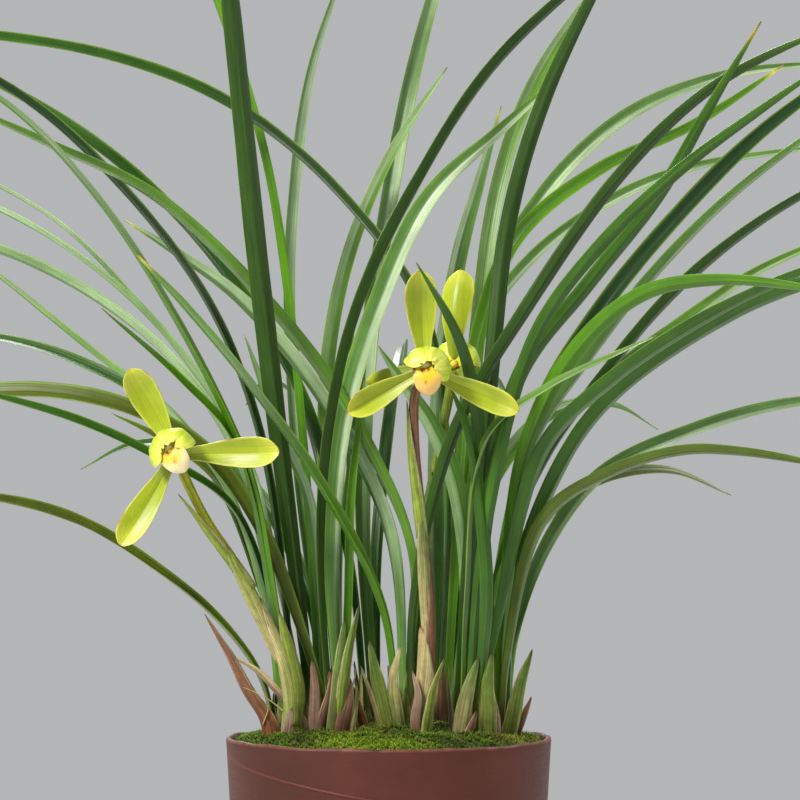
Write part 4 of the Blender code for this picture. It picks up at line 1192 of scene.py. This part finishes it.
# runs outwards and forwards, as shares of each piece's length
dorsalRun = ((0.06, 0.02), (0.4, -0.04), (0.75, 0.04), (1.0, 0.18))
lateralRun = ((0.06, 0.02), (0.4, -0.03), (0.75, 0.01), (1.0, 0.1))
lipRun = ((0.22, 0.16), (0.14, 0.42), (0.0, 0.64), (-0.06, 0.84), (0.1, 0.98), (0.38, 1.0), (0.68, 0.86))


def petalMaterial(name, glow, depth):
    return bladeMaterial(name, {
        "veinsPerMm": 0.9, "veinWander": 0.3,
        "streakDepth": (1 - depth, 1 + depth), "veinDepth": (1 - depth * 0.6, 1.03),
        "mottleScale": 0.22, "mottleDepth": (0.93, 1.07), "roughness": (0.32, 0.46), "bump": 0.16,
        "specular": 0.45, "sheen": 0.05, "glow": glow, "glowRadius": (1.0, 0.9, 0.2),
    })


sepalFlesh = petalMaterial("sepalFlesh", 0.22, 0.07)
petalFlesh = petalMaterial("petalFlesh", 0.3, 0.07)
lipFlesh = petalMaterial("lipFlesh", 0.35, 0.02)


def sepalTint(u, a, dark, key):
    colour = mixed(flower["sepalFoot"], flower["sepalMid"], a * 3)
    colour = mixed(colour, flower["sepalTip"], (a - 0.74) * 3.2)
    wave = 0.55 + 1.0 * blotch(u * 1.4, a * 2.6, key)
    # darker green towards the foot in patches, more on some sepals: partly the sepal's own green, partly
    # painted shade
    colour = mixed(colour, flower["sepalGreenAndShade"], dark * wave * (1.35 - a))
    colour = mixed(colour, flower["sepalEdge"], max(0.0, abs(u) - 0.84) * 4)
    rust = max(0.0, blotch(u * 2, a * 6, key + 4) - 0.12)
    colour = mixed(colour, flower["rust"], max(0.0, abs(u) - 0.94) * 40 * rust)
    colour = mixed(colour, flower["rust"], max(0.0, a - 0.985) * 50)
    # a darker line along the middle groove towards the foot: painted shade in the groove
    return colour * (1 - 0.14 * math.exp(-((u / 0.06) ** 2)) * (1 - a))


def sepalLift(u, a, fold, key):
    groove = 0.07 * math.exp(-((u / 0.09) ** 2)) * (1 - a)
    ripple = 0.05 * blotch(a * 4, u * 1.5, key)
    return fold * abs(u) ** 1.5 - groove + ripple * abs(u)


def petalTint(u, a):
    colour = mixed(flower["petalFoot"], flower["petal"], a * 2.2)
    rim = max(0.0, abs(u) - 0.72) * 2 + max(0.0, a - 0.72) * 3.4
    colour = mixed(colour, flower["petalEdge"], rim)
    return colour * (1 + 0.04 * cos(u * 15))


def lipTint(u, a, tone, key):
    colour = mixed(flower["throat"], flower[tone], (a - 0.7) * 5 + abs(u) * 0.8)
    spot = blotch(u * 3.5, a * 9, key) + 0.45
    band = math.exp(-(((a - 0.5 - 0.05 * u) / 0.05) ** 2)) * max(0.0, 1 - abs(u + 0.2) * 1.5) * 3
    sides = max(0.0, 1 - abs(a - 0.5) / 0.14) * max(0.0, abs(u) - 0.7) * 6
    colour = mixed(colour, flower["mark"], (band + sides) * max(0.0, spot) * 2.4)
    dot = math.exp(-((u - 0.12) ** 2 + ((a - 0.74) * 2.2) ** 2) / 0.004)
    return mixed(colour, flower["mark"] * 2, dot)


def lipLift(u, a):
    wings = max(0.0, 1 - abs(a - 0.28) / 0.28)
    frill = 0.05 * sin(a * 22) * max(0.0, abs(u) - 0.5)
    return (0.5 * wings - 0.5 * (1 - wings) * max(0.0, a - 0.35)) * abs(u) ** 1.7 + frill


def columnTint(a, b, key):
    colour = mixed(flower["column"], flower["anther"], (a - 0.8) * 12)
    band = max(0.0, 1 - abs(a - 0.6) / 0.22)
    fleck = blotch(cos(b * 2 * pi) * 2, a * 8, key) + 0.1
    return mixed(colour, flower["mark"], band * max(0.0, fleck) * 4)


def makeFlower(name, row, seed):
    centre, facing, dorsal, lipTone, sepals, petalTurns, lipTurn = row
    middle = np.array(centre) + np.array([0, 0, rimHeight])
    face = unit(np.array(facing, float))
    up = np.array(dorsal, float)
    up = unit(up - (up @ face) * face)
    right = np.cross(up, face)

    def place(out, turn, forward):
        return middle + out * (cos(turn) * up + sin(turn) * right) + forward * face

    def sheet(size, turn, run, shape, thick, lift, tint, count, *facts):
        length, width = size
        angle = radians(turn)
        path, _ = smoothPath([place(length * a, angle, length * b) for a, b in run], 200)
        shares = 1 - (1 - np.linspace(0, 1, count)) ** 1.35  # closer rows towards the tip
        path = path[np.round(shares * 199).astype(int)]
        side = cos(angle) * right - sin(angle) * up
        across, normal = bladeFrame(path, side, np.zeros(count))
        half = eased(shape, shares) * width / 2
        half[-1] = width * 0.03
        u = np.sin(np.linspace(-pi / 2, pi / 2, 21))
        raised = np.array([[lift(b, a, *facts) for b in u] for a in shares]) * half[:, None]
        grid = path[:, None] + u[None, :, None] * half[:, None, None] * across[:, None]
        grid = grid - raised[..., None] * normal[:, None]
        tints = np.array([[tint(b, a) for b in u] for a in shares])
        body = thick * (1 - 0.75 * u**2)[None] * np.clip(half / (width * 0.3), 0.35, 1)[:, None]
        uv = np.stack(np.broadcast_arrays(u[None] * half[:, None], (shares * length)[:, None]), -1)
        return sheetParts(grid, body, tints, uv)

    for part, (label, (turn, share, broad, fold, dark)) in enumerate(sepals.items()):
        key = seed * 10 + part + 0.5
        size = (flower["sepalLength"] * share, flower["sepalWidth"] * broad)
        parts = sheet(size, turn, lateralRun if turn else dorsalRun, sepalShape, flower["sepalThick"],
                      sepalLift, lambda u, a: sepalTint(u, a, dark, key), 44, fold, key)
        makePiece(f"fine_{name}_{label}", parts, sepalFlesh, "sepal", f"{name}_{label}")

    for label, turn in zip(("right", "left"), petalTurns):
        shares = 1 - (1 - np.linspace(0, 1, 34)) ** 1.4
        u = np.sin(np.linspace(-pi / 2, pi / 2, 25))
        reach, forward, sweep = (
            eased([(row[0], row[k]) for row in petalShell], shares)[:, None] for k in (1, 2, 3))
        if label == "left":
            reach = reach * 0.94
        angle = radians(turn) + u[None] * np.radians(sweep)
        frill = 0.1 * np.cos(u * 15)[None] * shares[:, None]
        frill = frill + 0.9 * np.maximum(0, np.abs(u) - 0.75)[None] * np.sin(shares * 9 + turn)[:, None]
        spots = np.array([[blotch(a * 3, b * 2, turn * 0.1) for b in u] for a in shares])
        reach = reach + frill + 1.5 * spots * shares[:, None]
        sag = forward + 0.8 * (u**2)[None] * shares[:, None] - 1.8 * spots * shares[:, None]
        around = np.cos(angle)[..., None] * up + np.sin(angle)[..., None] * right
        grid = middle + reach[..., None] * around + sag[..., None] * face
        tints = np.array([[petalTint(b, a) for b in u] for a in shares])
        body = flower["petalThick"] * (1 - 0.7 * u**2)[None] * np.ones((len(shares), 1))
        uv = np.stack(np.broadcast_arrays(u[None] * 5, shares[:, None] * 14), -1)
        parts = sheetParts(grid, body, tints, uv)
        makePiece(f"fine_{name}_petal_{label}", parts, petalFlesh, "petal", f"{name}_petal_{label}")

    size = (flower["lipLength"], flower["lipWidth"])
    parts = sheet(size, lipTurn, lipRun, lipShape, flower["petalThick"], lipLift,
                  lambda u, a: lipTint(u, a, lipTone, seed + 0.3), 40)
    makePiece(f"fine_{name}_lip", parts, lipFlesh, "lip", f"{name}_lip")

    long = flower["columnLength"]
    path, _ = smoothPath([place(0, 0, -0.5), place(1.3, 0, long / 2), place(1.5, 0, long + 1.6)], 26)
    radii = eased(columnShape, np.linspace(0, 1, 26))
    column = tubeParts(path, radii * flower["columnRadius"], 28, lambda a, b: columnTint(a, b, seed + 7.5))
    makePiece(f"fine_{name}_column", column, lipFlesh, "column", f"{name}_column")


for flowerNumber, (flowerName, flowerRow) in enumerate(flowerRows.items()):
    makeFlower(flowerName, flowerRow, flowerNumber)
print("flowers made")


# studio: pale floor that fades into a pale backdrop, soft lights, camera
studio = {
    "floorColour": (0.66, 0.66, 0.65, 1),
    "backdrop": (0.74, 0.75, 0.76, 1),
    "backdropStrength": 0.62,
    "fadeStart": 0.5,
    "fadeEnd": 1.1,
    "cameraPlace": (4.2, -1600.0, 124.0),  # millimetres, height from the rim
    "sensorWidth": 36,
    "fieldWidth": 295.4,  # millimetres seen across at the pot's axis
    "floorRadius": 1.3,
    "aimHeight": 0.24,
    "lamps": {  # place in metres, size, power, colour
        "keyLamp": ((-0.95, -0.95, 1.4), 0.5, 38, (1.0, 0.97, 0.92)),
        "sideLamp": ((1.2, 0.45, 1.15), 0.6, 9, (1.0, 0.98, 0.95)),
        "backLamp": ((-0.35, 1.15, 1.3), 0.7, 18, (0.97, 0.99, 1.0)),
    },
}


def makeStudio():
    bpy.ops.mesh.primitive_circle_add(vertices=96, radius=studio["floorRadius"], fill_type="NGON",
                                       location=(0, 0, -0.2 * mm))
    floor = bpy.context.object
    floor.name = "studioFloor"
    made, tree, shader = newMaterial("floorPaper")
    place = tree.nodes.new("ShaderNodeTexCoord")
    length = addNode(tree, "ShaderNodeVectorMath", operation="LENGTH")
    tree.links.new(place.outputs["Object"], length.inputs[0])
    fade = spread(tree, length.outputs["Value"], 1, 0, studio["fadeStart"], studio["fadeEnd"])
    setInputs(shader, {"Base Color": studio["floorColour"], "Roughness": 0.8})
    tree.links.new(fade, shader.inputs["Alpha"])
    floor.data.materials.append(made)

    world = bpy.data.worlds.new("studioAir")
    world.use_nodes = True
    air = world.node_tree.nodes["Background"]
    setInputs(air, {"Color": studio["backdrop"], "Strength": studio["backdropStrength"]})
    bpy.context.scene.world = world

    for name, (at, size, power, colour) in studio["lamps"].items():
        light = bpy.data.lights.new(name, "AREA")
        light.shape = "DISK"
        light.size = size
        light.energy = power
        light.color = colour
        lamp = bpy.data.objects.new(name, light)
        lamp.location = at
        aim = Vector((0, 0, studio["aimHeight"])) - Vector(at)
        lamp.rotation_euler = aim.to_track_quat("-Z", "Y").to_euler()
        bpy.context.scene.collection.objects.link(lamp)

    lens = bpy.data.cameras.new("camera")
    x, y, z = studio["cameraPlace"]
    lens.sensor_width = studio["sensorWidth"]
    lens.lens = studio["sensorWidth"] * abs(y) / studio["fieldWidth"]
    camera = bpy.data.objects.new("camera", lens)
    camera.location = (x * mm, y * mm, (rimHeight + z) * mm)
    camera.rotation_euler = (pi / 2, 0, 0)
    bpy.context.scene.collection.objects.link(camera)
    bpy.context.scene.camera = camera
    bpy.context.scene.view_settings.view_transform = "Standard"
    print("studio set")


makeStudio()
